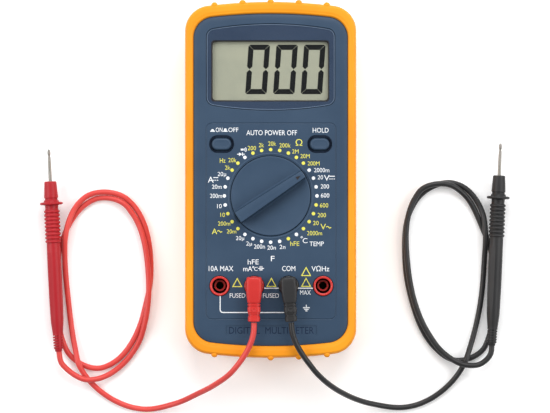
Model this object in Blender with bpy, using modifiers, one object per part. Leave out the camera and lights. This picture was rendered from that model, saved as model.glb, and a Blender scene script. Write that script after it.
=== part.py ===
"""Handheld digital multimeter in a rubber holster, lying on its back, with two test leads.

Metres, +Z out of the front, +Y towards the display, +X to the right.
Driving dimensions are in millimetres and are scaled by MM.
"""

import math

import bmesh
import bpy
from mathutils import Matrix, Vector

MM = 0.001

# Holster
HOLSTER_HALF_W = 45.3
HOLSTER_HALF_L = 94.2
HOLSTER_CORNER = 13.5
HOLSTER_TOP = 31.5
HOLSTER_FLOOR = 3.0
END_RADIUS = 268.0
LIP_UNDER = 28.7
OPENING_HALF_W = 40.8
OPENING_HALF_L = 87.8
RIB_PITCH = 14.85

# Case
CASE_HALF_W = 42.9
CASE_HALF_L = 91.5
CASE_BACK = 3.3
CASE_SPLIT = 17.0
CASE_FRONT = 30.3
CEILING = 28.0
GAP = 0.3
BOSS_X = 35.6
BOSS_Y = 82.0

# Board, display and battery
BOARD_UNDER = 22.3
BOARD_TOP = 23.8
LENS_Y = 59.5
LCD_Y = 57.5
BATTERY = (48.0, 26.0, 16.4)
BATTERY_AT = (-5.5, 14.0)
DOOR_SCREW = 34.5

# Dial
DIAL_Y = -8.5
DRUM_RADIUS = 17.4
DETENTS = 32
POINTER = math.radians(33.75)
BALL_RADIUS = 1.5

# Buttons
BUTTON_AT = (25.9, 18.8)
BUTTON_SIZE = (10.6, 6.6)

# Jacks
JACK_Y = -56.0
JACKS = (("10a", -26.9), ("ma", -8.7), ("com", 9.5), ("volt", 27.7))

# Stand
STAND_HINGE = (40.0, 1.55)
STAND_HALF_W = 23.0
STAND_TIP_Y = -38.0

# Leads
PLUG_Z = 36.6
CORD_RADIUS = 1.5
PROBE_Z = 7.0
PROBE_LENGTH = 108.4
RED_TAIL = (-115.0, -91.4)
RED_TILT = 2.8
BLACK_TAIL = (119.8, -88.2)
BLACK_TILT = -2.5
BLACK_PLUG_TURN = 4.0

RED_ROUTE = [
    (-8.7, -74.9, 36.6), (-8.8, -79.1, 36.6), (-20.1, -100.8, 32.7), (-30.3, -109.2, 24.2),
    (-39.2, -114.6, 15.2), (-51.6, -120.9, 6), (-69.9, -124.5, 1.9), (-74.6, -123.8, 1.7),
    (-102.4, -103.7, 3.9), (-104.2, -100.1, 4.9), (-106, -93.3, 3.5), (-110.4, -65.2, 1.6),
    (-112, -35.7, 3.9), (-111.7, -31.6, 4.8), (-103.9, -11.7, 3.6), (-100.7, -8.9, 3.7),
    (-78.5, -9.9, 2.5), (-75.5, -12.8, 1.6), (-65.4, -50.3, 1.6), (-69.1, -71.5, 1.6),
    (-70.3, -76, 1.6), (-88.1, -100.5, 1.6), (-92, -102, 1.6), (-110.9, -93.2, 1.6),
    (-112.8, -89.1, 1.6), (-116.1, -62.1, 1.6), (-115.9, -58.1, 1.6), (-114.8, -36.6, 1.6),
    (-100, -12.3, 1.6), (-96.4, -10.3, 1.7), (-79.1, -13.2, 3.5), (-75.4, -17.8, 3.2),
    (-66.5, -50.9, 4.8), (-69.1, -80, 3.6), (-70.8, -85.5, 2.7), (-94.6, -107.8, 4.9),
    (-98.6, -108.2, 5.9), (-110.6, -102.2, 6.3), (-113.4, -99, 6.8), (-114.9, -92, 7),
]
BLACK_ROUTE = [
    (10.8, -74.9, 36.6), (11.2, -79.1, 36.6), (22.1, -99.2, 33.3), (34.8, -111.5, 21.5),
    (37.3, -113.2, 18.9), (55.7, -121.4, 5), (73.3, -123.5, 1.8), (77.3, -122.8, 1.7),
    (103.2, -103.2, 3.6), (106, -97.4, 4.8), (107.6, -93.1, 3.7), (114.5, -65.3, 1.6),
    (116.2, -44.7, 2.5), (116.5, -26.1, 4.8), (115.6, -18.7, 3.4), (103.4, -2.6, 1.6),
    (99.4, -1.3, 1.6), (80.7, -8.8, 1.6), (76.9, -14.7, 1.6), (73.2, -43, 1.6), (75.6, -60.4, 1.6),
    (90.3, -91.8, 1.6), (95.1, -95.8, 1.6), (98.7, -97.5, 1.6), (116.6, -90.8, 1.6),
    (118.4, -86.5, 1.6), (120.6, -47.2, 1.6), (120.3, -39.9, 1.6), (115.8, -26.8, 1.6),
    (104.1, -6.5, 3.1), (98.3, -2.7, 4.5), (80.9, -5.8, 4.7), (78.6, -9.2, 4.7), (74.7, -48.4, 4.8),
    (85.7, -83.2, 4.7), (93, -92.9, 5.3), (106.8, -100.1, 7.8), (113.4, -99.5, 7.2),
    (119.3, -93.6, 7), (119.8, -88.6, 7),
]

COLOURS = {
    "rubber_orange": ((0.93, 0.40, 0.03, 1), 0.62, 0.0),
    "case_blue": ((0.055, 0.10, 0.17, 1), 0.5, 0.0),
    "black_plastic": ((0.03, 0.03, 0.032, 1), 0.45, 0.0),
    "red_plastic": ((0.55, 0.03, 0.035, 1), 0.4, 0.0),
    "red_cord": ((0.75, 0.09, 0.08, 1), 0.5, 0.0),
    "black_cord": ((0.045, 0.045, 0.05, 1), 0.5, 0.0),
    "glass": ((0.10, 0.14, 0.18, 1), 0.1, 0.0),
    "lcd": ((0.37, 0.39, 0.30, 1), 0.3, 0.0),
    "board": ((0.02, 0.20, 0.07, 1), 0.5, 0.0),
    "steel": ((0.62, 0.62, 0.60, 1), 0.3, 1.0),
    "brass": ((0.75, 0.55, 0.22, 1), 0.3, 1.0),
    "nickel": ((0.66, 0.63, 0.55, 1), 0.25, 1.0),
    "white_ceramic": ((0.80, 0.79, 0.74, 1), 0.4, 0.0),
    "elastomer": ((0.30, 0.30, 0.30, 1), 0.7, 0.0),
    "battery": ((0.12, 0.12, 0.13, 1), 0.35, 0.0),
}


def clear_scene():
    for obj in list(bpy.data.objects):
        bpy.data.objects.remove(obj, do_unlink=True)
    for collection in list(bpy.data.collections):
        bpy.data.collections.remove(collection)


def new_collection(name):
    collection = bpy.data.collections.new(name)
    bpy.context.scene.collection.children.link(collection)
    return collection


def material_for(key, node):
    colour, roughness, metallic = COLOURS[key]
    material = bpy.data.materials.new(node)
    material.use_nodes = True
    shader = material.node_tree.nodes["Principled BSDF"]
    shader.inputs["Base Color"].default_value = colour
    shader.inputs["Roughness"].default_value = roughness
    shader.inputs["Metallic"].default_value = metallic
    material.diffuse_color = colour
    return material


def keep(obj, key):
    """Puts the object among the parts, with its own material and smooth round faces."""
    for collection in list(obj.users_collection):
        collection.objects.unlink(obj)
    PARTS.objects.link(obj)
    obj.data.materials.clear()
    obj.data.materials.append(material_for(key, obj.name))
    if obj.type == "MESH":
        obj.data.shade_smooth()
        obj.data.set_sharp_from_angle(angle=math.radians(32))
    return obj


def as_cutter(obj):
    for collection in list(obj.users_collection):
        collection.objects.unlink(obj)
    CUTTERS.objects.link(obj)
    obj.hide_render = True
    obj.display_type = "WIRE"
    return obj


def mesh_object(name, mesh):
    obj = bpy.data.objects.new(name, mesh)
    PARTS.objects.link(obj)
    return obj


def frozen(obj):
    """Replaces the object by a mesh of its evaluated shape, with its modifiers applied."""
    bpy.context.view_layer.update()
    graph = bpy.context.evaluated_depsgraph_get()
    mesh = bpy.data.meshes.new_from_object(obj.evaluated_get(graph))
    name = obj.name
    world = obj.matrix_world.copy()
    bpy.data.objects.remove(obj, do_unlink=True)
    body = bmesh.new()
    body.from_mesh(mesh)
    bmesh.ops.remove_doubles(body, verts=body.verts, dist=0.000005)
    bmesh.ops.recalc_face_normals(body, faces=body.faces)
    body.to_mesh(mesh)
    body.free()
    result = mesh_object(name, mesh)
    result.matrix_world = world
    return result


def with_origin(obj, origin):
    """The object as a mesh whose own origin is at this point, in mm."""
    obj = frozen(obj)
    place = Matrix.Translation([c * MM for c in origin])
    obj.data.transform(place.inverted() @ obj.matrix_world)
    obj.matrix_world = place
    return obj


def rounded_outline(half_w, half_l, corner, end_radius, corner_steps=6, end_steps=6):
    """A rounded oblong whose two short ends bow outwards; returns its points in mm."""
    centre_y = half_l - end_radius
    reach = half_w - corner
    corner_y = centre_y + math.sqrt((end_radius - corner) ** 2 - reach**2)
    lean = math.asin(reach / (end_radius - corner))
    quarter = []
    for i in range(corner_steps + 1):
        turn = (math.pi / 2 - lean) * i / corner_steps
        quarter.append((reach + corner * math.cos(turn), corner_y + corner * math.sin(turn)))
    for i in range(1, end_steps + 1):
        turn = lean * (1 - i / end_steps)
        quarter.append((end_radius * math.sin(turn), centre_y + end_radius * math.cos(turn)))
    top = quarter + [(-x, y) for x, y in reversed(quarter[:-1])]
    return top + [(-x, -y) for x, y in top]


def round_rect(width, height, corner, steps=4):
    points = []
    for k, (sx, sy) in enumerate(((1, 1), (-1, 1), (-1, -1), (1, -1))):
        for i in range(steps + 1):
            turn = math.pi / 2 * (k + i / steps)
            x = sx * (width / 2 - corner) + corner * math.cos(turn)
            y = sy * (height / 2 - corner) + corner * math.sin(turn)
            points.append((x, y))
    return points


def moved(points, dx, dy):
    return [(x + dx, y + dy) for x, y in points]


def slab(name, points, low, high):
    """A flat outline in XY, filled and extruded between two heights."""
    curve = bpy.data.curves.new(name, "CURVE")
    curve.dimensions = "2D"
    curve.fill_mode = "BOTH"
    curve.extrude = (high - low) / 2 * MM
    spline = curve.splines.new("POLY")
    spline.points.add(len(points) - 1)
    for point, (x, y) in zip(spline.points, points):
        point.co = (x * MM, y * MM, 0, 1)
    spline.use_cyclic_u = True
    obj = bpy.data.objects.new(name, curve)
    PARTS.objects.link(obj)
    obj.location = (0, 0, (high + low) / 2 * MM)
    return frozen(obj)


def block(name, size, centre, round_edge=0.0):
    """A box with its edges rounded."""
    body = bmesh.new()
    bmesh.ops.create_cube(body, size=1, matrix=Matrix.Diagonal((*[s * MM for s in size], 1)))
    mesh = bpy.data.meshes.new(name)
    body.to_mesh(mesh)
    body.free()
    obj = mesh_object(name, mesh)
    obj.location = [c * MM for c in centre]
    if round_edge:
        bevel(obj, round_edge, 2)
    return obj


def rod(name, radius, low, high, at=(0, 0), segments=24):
    """An upright cylinder between two heights."""
    body = bmesh.new()
    bmesh.ops.create_cone(
        body,
        cap_ends=True,
        segments=segments,
        radius1=radius * MM,
        radius2=radius * MM,
        depth=(high - low) * MM,
    )
    mesh = bpy.data.meshes.new(name)
    body.to_mesh(mesh)
    body.free()
    obj = mesh_object(name, mesh)
    obj.location = (at[0] * MM, at[1] * MM, (low + high) / 2 * MM)
    return obj


def lathe(name, profile, steps=24):
    """Turns a profile of (radius, height) points about Z; its outer side runs downwards."""
    mesh = bpy.data.meshes.new(name)
    body = bmesh.new()
    verts = [body.verts.new((r * MM, 0, z * MM)) for r, z in profile]
    for a, b in zip(verts, verts[1:]):
        body.edges.new((a, b))
    body.to_mesh(mesh)
    body.free()
    obj = mesh_object(name, mesh)
    screw = obj.modifiers.new("Turn", "SCREW")
    screw.axis = "Z"
    screw.steps = steps
    screw.render_steps = steps
    screw.use_merge_vertices = True
    screw.merge_threshold = 0.00001
    return frozen(obj)


def tube(name, points, radius, resolution=2):
    """A wire: a POLY curve with a round bevel and filled caps, in mm."""
    curve = bpy.data.curves.new(name, "CURVE")
    curve.dimensions = "3D"
    curve.bevel_depth = radius * MM
    curve.bevel_resolution = resolution
    curve.use_fill_caps = True
    spline = curve.splines.new("POLY")
    spline.points.add(len(points) - 1)
    for point, (x, y, z) in zip(spline.points, points):
        point.co = (x * MM, y * MM, z * MM, 1)
    obj = bpy.data.objects.new(name, curve)
    PARTS.objects.link(obj)
    return obj


def bevel(obj, width, segments=2, angle=35):
    modifier = obj.modifiers.new("Bevel", "BEVEL")
    modifier.width = width * MM
    modifier.segments = segments
    modifier.limit_method = "ANGLE"
    modifier.angle_limit = math.radians(angle)
    return obj


def combine(obj, tool, operation="DIFFERENCE"):
    modifier = obj.modifiers.new(operation.title(), "BOOLEAN")
    modifier.operation = operation
    modifier.solver = "EXACT"
    modifier.object = as_cutter(tool)
    return obj


def joined(name, pieces):
    """One object from several that do not touch each other."""
    body = bmesh.new()
    for piece in pieces:
        piece = frozen(piece)
        piece.data.transform(piece.matrix_world)
        body.from_mesh(piece.data)
        bpy.data.objects.remove(piece, do_unlink=True)
    mesh = bpy.data.meshes.new(name)
    body.to_mesh(mesh)
    body.free()
    return mesh_object(name, mesh)


def curve_through(route, count, floor=-100.0):
    """Evenly spaced points on a smooth curve through the route points."""
    nodes = [Vector(p) for p in route]
    spans = [(b - a).length for a, b in zip(nodes, nodes[1:])]
    tangents = [(nodes[1] - nodes[0]) / spans[0]]
    for i in range(1, len(nodes) - 1):
        before, after = spans[i - 1], spans[i]
        slope_in = (nodes[i] - nodes[i - 1]) / before
        slope_out = (nodes[i + 1] - nodes[i]) / after
        tangents.append((slope_in * after + slope_out * before) / (before + after))
    tangents.append((nodes[-1] - nodes[-2]) / spans[-1])
    points = []
    total = sum(spans)
    span, start = 0, 0.0
    for k in range(count):
        at = total * k / (count - 1)
        while span < len(spans) - 1 and at > start + spans[span]:
            start += spans[span]
            span += 1
        h = spans[span]
        u = min((at - start) / h, 1.0)
        point = nodes[span] * (2 * u**3 - 3 * u**2 + 1)
        point += tangents[span] * (h * (u**3 - 2 * u**2 + u))
        point += nodes[span + 1] * (3 * u**2 - 2 * u**3)
        point += tangents[span + 1] * (h * (u**3 - u**2))
        point.z = max(point.z, floor)
        points.append(tuple(point))
    return points


def coil(radius, low, high, turns, per_turn=10):
    points = []
    for i in range(turns * per_turn + 1):
        turn = 2 * math.pi * i / per_turn
        z = low + (high - low) * i / (turns * per_turn)
        points.append((radius * math.cos(turn), radius * math.sin(turn), z))
    return points


def build_holster():
    outer = rounded_outline(HOLSTER_HALF_W, HOLSTER_HALF_L, HOLSTER_CORNER, END_RADIUS, 6, 4)
    holster = slab("holster", outer, 0, HOLSTER_TOP)
    bevel(holster, 1.3, 3)
    ribs = []
    for side in (1, -1):
        for k in range(-2, 3):
            x = k * RIB_PITCH
            bow = x * x / (2 * END_RADIUS)
            ribs.append(rod("rib", 1.7, 4.0, 30.6, (x, side * (HOLSTER_HALF_L - bow - 0.55)), 10))
    combine(holster, joined("ribs", ribs), "UNION")
    inner = rounded_outline(CASE_HALF_W + 0.3, CASE_HALF_L + 0.3, 11.5, END_RADIUS, 4, 3)
    combine(holster, slab("holster_cavity", inner, HOLSTER_FLOOR, LIP_UNDER))
    mouth = rounded_outline(OPENING_HALF_W, OPENING_HALF_L, 11.0, END_RADIUS, 6, 4)
    combine(holster, slab("holster_mouth", mouth, 20, 34))
    window = moved(round_rect(2 * STAND_HALF_W + 0.8, 81.2, 2.0, 2), 0, 1.7)
    combine(holster, slab("stand_window", window, -1, 4))
    pin_hole = rod("stand_pin_hole", 1.2, -26.0, 26.0, (0, 0), 14)
    pin_hole.rotation_euler = (0, math.pi / 2, 0)
    pin_hole.location = (0, STAND_HINGE[0] * MM, STAND_HINGE[1] * MM)
    combine(holster, pin_hole)
    scoops = []
    for side in (1, -1):
        scoop = block("scoop", (3.0, 100.0, 8.0), (side * 46.2, -6.0, 31.0))
        scoop.rotation_euler = (0, side * math.radians(-24), 0)
        scoops.append(bevel(scoop, 1.2, 2))
    combine(holster, joined("grip_scoops", scoops))
    return keep(holster, "rubber_orange")


def build_tilt_stand():
    """A folding U whose pins turn in the sides of the holster's window."""
    hinge_y, hinge_z = STAND_HINGE
    middle = (hinge_y + 1.1 + STAND_TIP_Y) / 2
    length = hinge_y + 1.1 - STAND_TIP_Y
    plate = moved(round_rect(2 * STAND_HALF_W, length, 1.0, 3), 0, middle)
    stand = slab("tilt_stand", plate, 0.45, 2.65)
    combine(stand, slab("stand_slot", moved(round_rect(27, 50, 6, 4), 0, 1.0), -1, 4))
    pin = rod("stand_pin", 0.95, -25.2, 25.2, (0, 0), 14)
    pin.rotation_euler = (0, math.pi / 2, 0)
    pin.location = (0, hinge_y * MM, hinge_z * MM)
    combine(stand, pin, "UNION")
    return keep(with_origin(stand, (0, hinge_y, hinge_z)), "rubber_orange")


def boss_places():
    return [(sx * BOSS_X, sy * BOSS_Y) for sy in (1, -1) for sx in (-1, 1)]


def build_front_case():
    base = rounded_outline(CASE_HALF_W, CASE_HALF_L, 11.2, END_RADIUS, 4, 3)
    case = slab("front_case", base, CASE_SPLIT + GAP, 28.3)
    raised = rounded_outline(40.5, 87.5, 10.7, END_RADIUS, 5, 4)
    panel = slab("case_panel", raised, 22, CASE_FRONT)
    bevel(panel, 1.3, 2)
    combine(case, panel, "UNION")
    room = rounded_outline(40.9, 89.5, 9.5, END_RADIUS, 4, 3)
    combine(case, slab("case_room", room, 10, 26.2))
    upper = rounded_outline(38.4, 85.4, 8.5, END_RADIUS, 4, 3)
    combine(case, slab("case_upper_room", upper, 25, CEILING))
    posts = [rod("post", 3.6, CASE_SPLIT + GAP, CEILING + 0.4, at, 12) for at in boss_places()]
    posts.append(rod("detent_ring", 20.0, 25.4, CEILING + 0.4, (0, DIAL_Y), 32))
    combine(case, joined("case_posts", posts), "UNION")
    holes = [rod("pilot", 1.65, 10, 26.0, at, 10) for at in boss_places()]
    holes += [rod("jack_hole", 5.6, 25, 34, (x, JACK_Y), 20) for _, x in JACKS]
    for side in (-1, 1):
        place = (side * BUTTON_AT[0], BUTTON_AT[1])
        holes.append(slab("button_hole", moved(round_rect(11.2, 7.2, 3.3, 4), *place), 26, 29.5))
    combine(case, joined("case_holes", holes))
    wells = []
    for side in (-1, 1):
        place = (side * BUTTON_AT[0], BUTTON_AT[1])
        wells.append(slab("well", moved(round_rect(13.0, 9.4, 4.2, 4), *place), 29.2, 34))
    wells.append(slab("lens_bed", moved(lens_outline(0.25), 0, LENS_Y), 28.7, 34))
    wells.append(rod("dial_bed", 21.8, 28.8, 34, (0, DIAL_Y), 40))
    combine(case, joined("case_wells", wells))
    combine(case, slab("lcd_hole", moved(round_rect(62.4, 32.4, 1.6, 3), -0.2, LCD_Y), 24, 32))
    combine(case, rod("drum_hole", 17.95, 24, 32, (0, DIAL_Y), DETENTS))
    return keep(case, "case_blue")


def lens_outline(extra):
    return rounded_outline(33.8 + extra, 22.7 + extra, 4.2 + extra, 182.0, 3, 4)


def build_rear_case():
    base = rounded_outline(CASE_HALF_W, CASE_HALF_L, 11.2, END_RADIUS, 4, 3)
    case = slab("rear_case", base, CASE_BACK, CASE_SPLIT)
    bevel(case, 0.9, 1)
    room = rounded_outline(40.9, 89.5, 9.5, END_RADIUS, 4, 3)
    combine(case, slab("rear_room", room, CASE_BACK + 2.0, 22))
    posts = [rod("post", 3.6, 4.0, CASE_SPLIT, at, 12) for at in boss_places()]
    combine(case, joined("rear_posts", posts), "UNION")
    bx, by = BATTERY_AT
    hole = moved(round_rect(65.0, 31.0, 1.5, 2), bx + 5.0, by)
    combine(case, slab("battery_door_hole", hole, 2, 5.5))
    combine(case, block("door_foot", (5.0, 9.0, 8.0), (bx + 40.3, by, 8.6)), "UNION")
    combine(case, block("door_arm", (7.3, 9.0, 5.8), (bx + 35.3, by, 9.4)), "UNION")
    holes = [rod("head_hole", 3.05, 2, 6.4, at, 12) for at in boss_places()]
    holes.append(rod("door_pilot", 1.35, 5, 11.5, (bx + DOOR_SCREW, by), 12))
    combine(case, joined("rear_head_holes", holes))
    shanks = [rod("shank_hole", 1.75, 5, 22, at, 10) for at in boss_places()]
    combine(case, joined("rear_shank_holes", shanks))
    return keep(case, "case_blue")


def screw(name, at, head_low, head_high, tip, head_radius, shank_radius):
    """A pan-head screw pointing up, with a cross recess in its head."""
    profile = [
        (0, tip),
        (shank_radius * 0.6, tip),
        (shank_radius, tip - 0.8),
        (shank_radius, head_high),
        (head_radius, head_high),
        (head_radius, head_low + 0.5),
        (head_radius * 0.75, head_low),
        (0, head_low),
    ]
    obj = lathe(name, profile, 12)
    depth = (head_high - head_low) * 0.5
    for k, size in enumerate(((3.2, 0.7, depth * 2), (0.7, 3.2, depth * 2))):
        combine(obj, block(f"{name}_recess_{k}", size, (0, 0, head_low)))
    obj = frozen(obj)
    obj.location = (at[0] * MM, at[1] * MM, 0)
    return keep(obj, "steel")


def build_screws():
    for k, at in enumerate(boss_places(), 1):
        screw(f"case_screw_{k}", at, 4.0, 6.1, 24.5, 2.7, 1.3)
    door_screw = (BATTERY_AT[0] + DOOR_SCREW, BATTERY_AT[1])
    screw("battery_cover_screw", door_screw, 3.5, 4.5, 10.6, 2.5, 1.05)


def build_battery():
    bx, by = BATTERY_AT
    cover = slab("battery_cover", moved(round_rect(64.4, 30.4, 1.2, 2), bx + 5.0, by), 3.3, 5.3)
    combine(cover, rod("cover_hole", 1.4, 2, 7, (bx + DOOR_SCREW, by), 14))
    combine(cover, rod("cover_head_hole", 2.8, 2, 4.55, (bx + DOOR_SCREW, by), 16))
    for k in range(5):
        combine(cover, block(f"cover_grip_{k}", (1.0, 16.0, 0.8), (bx - 14 - 2.4 * k, by, 3.3)))
    keep(cover, "case_blue")
    length, width, height = BATTERY
    centre_z = 5.6 + height / 2
    cell = block("battery_9v", BATTERY, (bx, by, centre_z), 1.0)
    studs = []
    for side, radius in ((1, 2.9), (-1, 3.6)):
        stud = rod("stud", radius, -1.4, 1.4, (0, 0), 16)
        stud.rotation_euler = (0, math.pi / 2, 0)
        stud.location = ((bx + length / 2 + 0.9) * MM, (by + side * 6.35) * MM, centre_z * MM)
        studs.append(stud)
    combine(cell, joined("battery_studs", studs), "UNION")
    keep(cell, "battery")
    snap_x = bx + length / 2 + 4.0
    snap = block("battery_snap", (6.6, 25.0, 12.0), (snap_x, by, centre_z), 0.8)
    sockets = []
    for side, radius in ((1, 3.3), (-1, 4.0)):
        socket = rod("socket", radius, -2.4, 2.4, (0, 0), 16)
        socket.rotation_euler = (0, math.pi / 2, 0)
        socket.location = ((snap_x - 3.0) * MM, (by + side * 6.35) * MM, centre_z * MM)
        sockets.append(socket)
    combine(snap, joined("snap_sockets", sockets))
    keep(snap, "black_plastic")
    for name, key, side in (("red", "red_cord", 1), ("black", "black_cord", -1)):
        y = by + side * 6.0
        route = [
            (snap_x + 3.7, y, centre_z),
            (snap_x + 6.5, y, centre_z),
            (snap_x + 9.0, y + 1.5, centre_z + 1.5),
            (snap_x + 9.6, y + 3.0, centre_z + 4.0),
            (snap_x + 9.6, y + 3.6, BOARD_UNDER - 0.3),
        ]
        keep(tube(f"battery_wire_{name}", curve_through(route, 14), 0.6, 1), key)


def build_display():
    lens = slab("display_window", moved(lens_outline(0.0), 0, LENS_Y), 29.0, 30.15)
    keep(bevel(lens, 0.35, 2), "glass")
    panel = block("lcd_panel", (64.6, 34.6, 1.9), (-0.2, LCD_Y, 26.6), 0.2)
    keep(panel, "lcd")
    frame = block("lcd_frame", (68.0, 38.0, 3.4), (-0.2, LCD_Y, 25.9), 0.4)
    combine(frame, block("frame_hole", (65.2, 35.2, 8.0), (-0.2, LCD_Y, 27.9)))
    keep(frame, "black_plastic")
    zebra = block("zebra_strip", (60.0, 2.4, 1.1), (-0.2, LCD_Y - 15.6, 24.75), 0.15)
    keep(zebra, "elastomer")


def build_board():
    outline = rounded_outline(40.2, 88.6, 8.6, END_RADIUS, 3, 2)
    board = slab("main_board", outline, BOARD_UNDER, BOARD_TOP)
    holes = [rod("boss_hole", 4.2, 20, 26, at, 12) for at in boss_places()]
    holes += [rod("jack_hole", 5.7, 20, 26, (x, JACK_Y), 16) for _, x in JACKS]
    combine(board, joined("board_holes", holes))
    keep(board, "board")
    chip = block("main_chip", (14.0, 14.0, 1.8), (-8.0, 62.0, 21.1), 0.2)
    keep(chip, "black_plastic")
    can = [(0, -4.7), (2.6, -4.7), (3.0, -5.0), (3.0, -12.5), (2.7, -12.9), (0, -12.9)]
    capacitor = lathe("capacitor", [(r, z + 4.4) for r, z in can], 16)
    capacitor.location = (16.0 * MM, 60.0 * MM, BOARD_UNDER * MM)
    keep(capacitor, "battery")
    trimmer = block("trimmer", (6.4, 6.4, 4.0), (0, 41.0, 20.0), 0.3)
    combine(trimmer, rod("trimmer_bore", 2.0, 17.0, 18.7, (0, 41.0), 16))
    keep(trimmer, "red_plastic")
    buzzer = lathe("buzzer", [(0, 22.0), (8, 22.0), (8, 15.0), (7.4, 14.5), (0, 14.5)], 24)
    combine(buzzer, rod("buzzer_hole", 1.5, 12.0, 17.0, (0, 0), 12))
    buzzer = frozen(buzzer)
    buzzer.location = (-25.5 * MM, 56.0 * MM, 0)
    keep(buzzer, "black_plastic")
    half = 7.0
    bridge = [(-half, 0, 22.0), (-half, 0, 15.5), (-half + 2, 0, 13.5)]
    bridge += [(half - 2, 0, 13.5), (half, 0, 15.5), (half, 0, 22.0)]
    shunt = tube("shunt_wire", curve_through(bridge, 16), 0.8, 1)
    shunt.location = (-18.0 * MM, -72.0 * MM, 0)
    keep(shunt, "brass")


def build_fuses():
    places = (("10a", -13.0, -26.0, 3.1, 25.0), ("200ma", 13.0, -38.0, 2.5, 20.0))
    for name, x, y, radius, length in places:
        half = length / 2
        cap = 5.0
        profile = [
            (0, half),
            (radius, half),
            (radius, half - cap),
            (radius - 0.25, half - cap),
            (radius - 0.25, cap - half),
            (radius, cap - half),
            (radius, -half),
            (0, -half),
        ]
        z = 21.0 - radius
        fuse = lathe(f"fuse_{name}", profile, 16)
        fuse.rotation_euler = (0, math.pi / 2, 0)
        fuse.location = (x * MM, y * MM, z * MM)
        keep(fuse, "white_ceramic")
        width = 2 * radius + 2.4
        clip = block(f"fuse_holder_{name}", (length + 2.4, 5.0, 0.7), (x, y, 21.65))
        for k, side in enumerate((-1, 1)):
            at = (x + side * (half - 2.4), y, z + 0.8)
            jaw = block(f"jaw_{name}_{k}", (3.4, width, 2 * radius), at)
            combine(clip, jaw, "UNION")
        bore = rod(f"jaw_bore_{name}", radius + 0.25, -half - 3, half + 3, (0, 0), 20)
        bore.rotation_euler = (0, math.pi / 2, 0)
        bore.location = (x * MM, y * MM, z * MM)
        combine(clip, bore)
        keep(clip, "brass")


def build_dial():
    """The range switch: a drum and disc with a pointer bar, turning about its own axis."""
    profile = [
        (0, 31.0),
        (20.7, 31.0),
        (21.3, 30.4),
        (21.3, 29.2),
        (DRUM_RADIUS, 29.2),
        (DRUM_RADIUS, 24.8),
        (0, 24.8),
    ]
    dial = lathe("function_dial", profile, 40)
    bar = block("bar", (42.2, 6.2, 8.0), (0, 0, 33.4))
    taper(bar, 0.66)
    bevel(bar, 0.9, 3)
    combine(dial, bar, "UNION")
    for name, side in (("right", 1), ("left", -1)):
        bore = rod(f"detent_bore_{name}", 1.75, 9.0, 19.0, (0, 0), 12)
        bore.rotation_euler = (0, side * math.pi / 2, 0)
        bore.location = (side * 14.0 * MM, 0, 26.9 * MM)
        combine(dial, bore)
    dial = frozen(dial)
    dial.location = (0, DIAL_Y * MM, 0)
    dial.rotation_euler = (0, 0, POINTER)
    keep(dial, "case_blue")
    for name, side in (("right", 1), ("left", -1)):
        ahead = Vector((side * math.cos(POINTER), side * math.sin(POINTER), 0))
        ball = ball_at(f"detent_ball_{name}", BALL_RADIUS)
        ball.location = (Vector((0, DIAL_Y, 26.9)) + ahead * 16.1) * MM
        keep(ball, "steel")
        spring = tube(f"detent_spring_{name}", coil(1.25, 0, 4.6, 3, 7), 0.2, 0)
        spring.rotation_euler = (0, side * math.pi / 2, POINTER)
        spring.location = (Vector((0, DIAL_Y, 26.9)) + ahead * 9.6) * MM
        keep(spring, "steel")
        strip = block(f"dial_contact_{name}", (3.2, 11.0, 0.4), (0, 0, 0), 0.1)
        strip.location = (Vector((0, DIAL_Y, 24.3)) + ahead * 12.0) * MM
        strip.rotation_euler = (0, 0, POINTER)
        keep(strip, "brass")


def taper(obj, factor):
    """Narrows a block's upper face across its width and a little along its length."""
    for vert in obj.data.vertices:
        if vert.co.z > 0:
            vert.co.y *= factor
            vert.co.x *= 0.96


def ball_at(name, radius):
    body = bmesh.new()
    bmesh.ops.create_uvsphere(body, u_segments=10, v_segments=6, radius=radius * MM)
    mesh = bpy.data.meshes.new(name)
    body.to_mesh(mesh)
    body.free()
    return mesh_object(name, mesh)


def build_buttons():
    for name, side in (("power", -1), ("hold", 1)):
        at = (side * BUTTON_AT[0], BUTTON_AT[1])
        cap = slab(f"{name}_button", round_rect(*BUTTON_SIZE, 3.0, 4), 27.0, 31.9)
        bevel(cap, 0.7, 2, 50)
        flange = slab(f"{name}_flange", round_rect(12.6, 8.4, 3.6, 4), 27.0, 27.7)
        combine(cap, flange, "UNION")
        combine(cap, slab(f"{name}_hollow", round_rect(7.6, 4.0, 1.9, 4), 25, 30.7))
        combine(cap, rod(f"{name}_stem", 0.9, 26.0, 31.0, (0, 0), 12), "UNION")
        cap = with_origin(cap, (0, 0, 0))
        cap.location = (at[0] * MM, at[1] * MM, 0)
        keep(cap, "case_blue")
        body = block(f"{name}_switch", (9.0, 9.0, 1.3), (*at, 24.75), 0.2)
        combine(body, rod(f"{name}_plunger_hole", 1.25, 24.4, 27, at, 12))
        keep(body, "black_plastic")
        spring = tube(f"{name}_spring", coil(1.5, 25.7, 30.4, 3, 7), 0.2, 0)
        spring.location = (at[0] * MM, at[1] * MM, 0)
        keep(spring, "steel")


def build_jacks():
    shell = [
        (0, 13.8),
        (2.6, 13.8),
        (2.6, 26.0),
        (3.1, 26.0),
        (3.1, 13.8),
        (4.1, 13.8),
        (4.1, 31.1),
        (5.2, 31.1),
        (5.2, 25.3),
        (6.8, 25.3),
        (6.8, 24.1),
        (5.2, 24.1),
        (5.2, 12.6),
        (0, 12.6),
    ]
    brass = [(0, 15.1), (2.05, 15.1), (2.05, 23.0), (2.35, 23.0), (2.35, 14.1), (0, 14.1)]
    for name, x in JACKS:
        jack = lathe(f"jack_{name}", shell, 16)
        jack.location = (x * MM, JACK_Y * MM, 0)
        keep(jack, "black_plastic" if name == "com" else "red_plastic")
        socket = lathe(f"socket_{name}", brass, 12)
        socket.location = (x * MM, JACK_Y * MM, 0)
        keep(socket, "brass")


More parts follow.
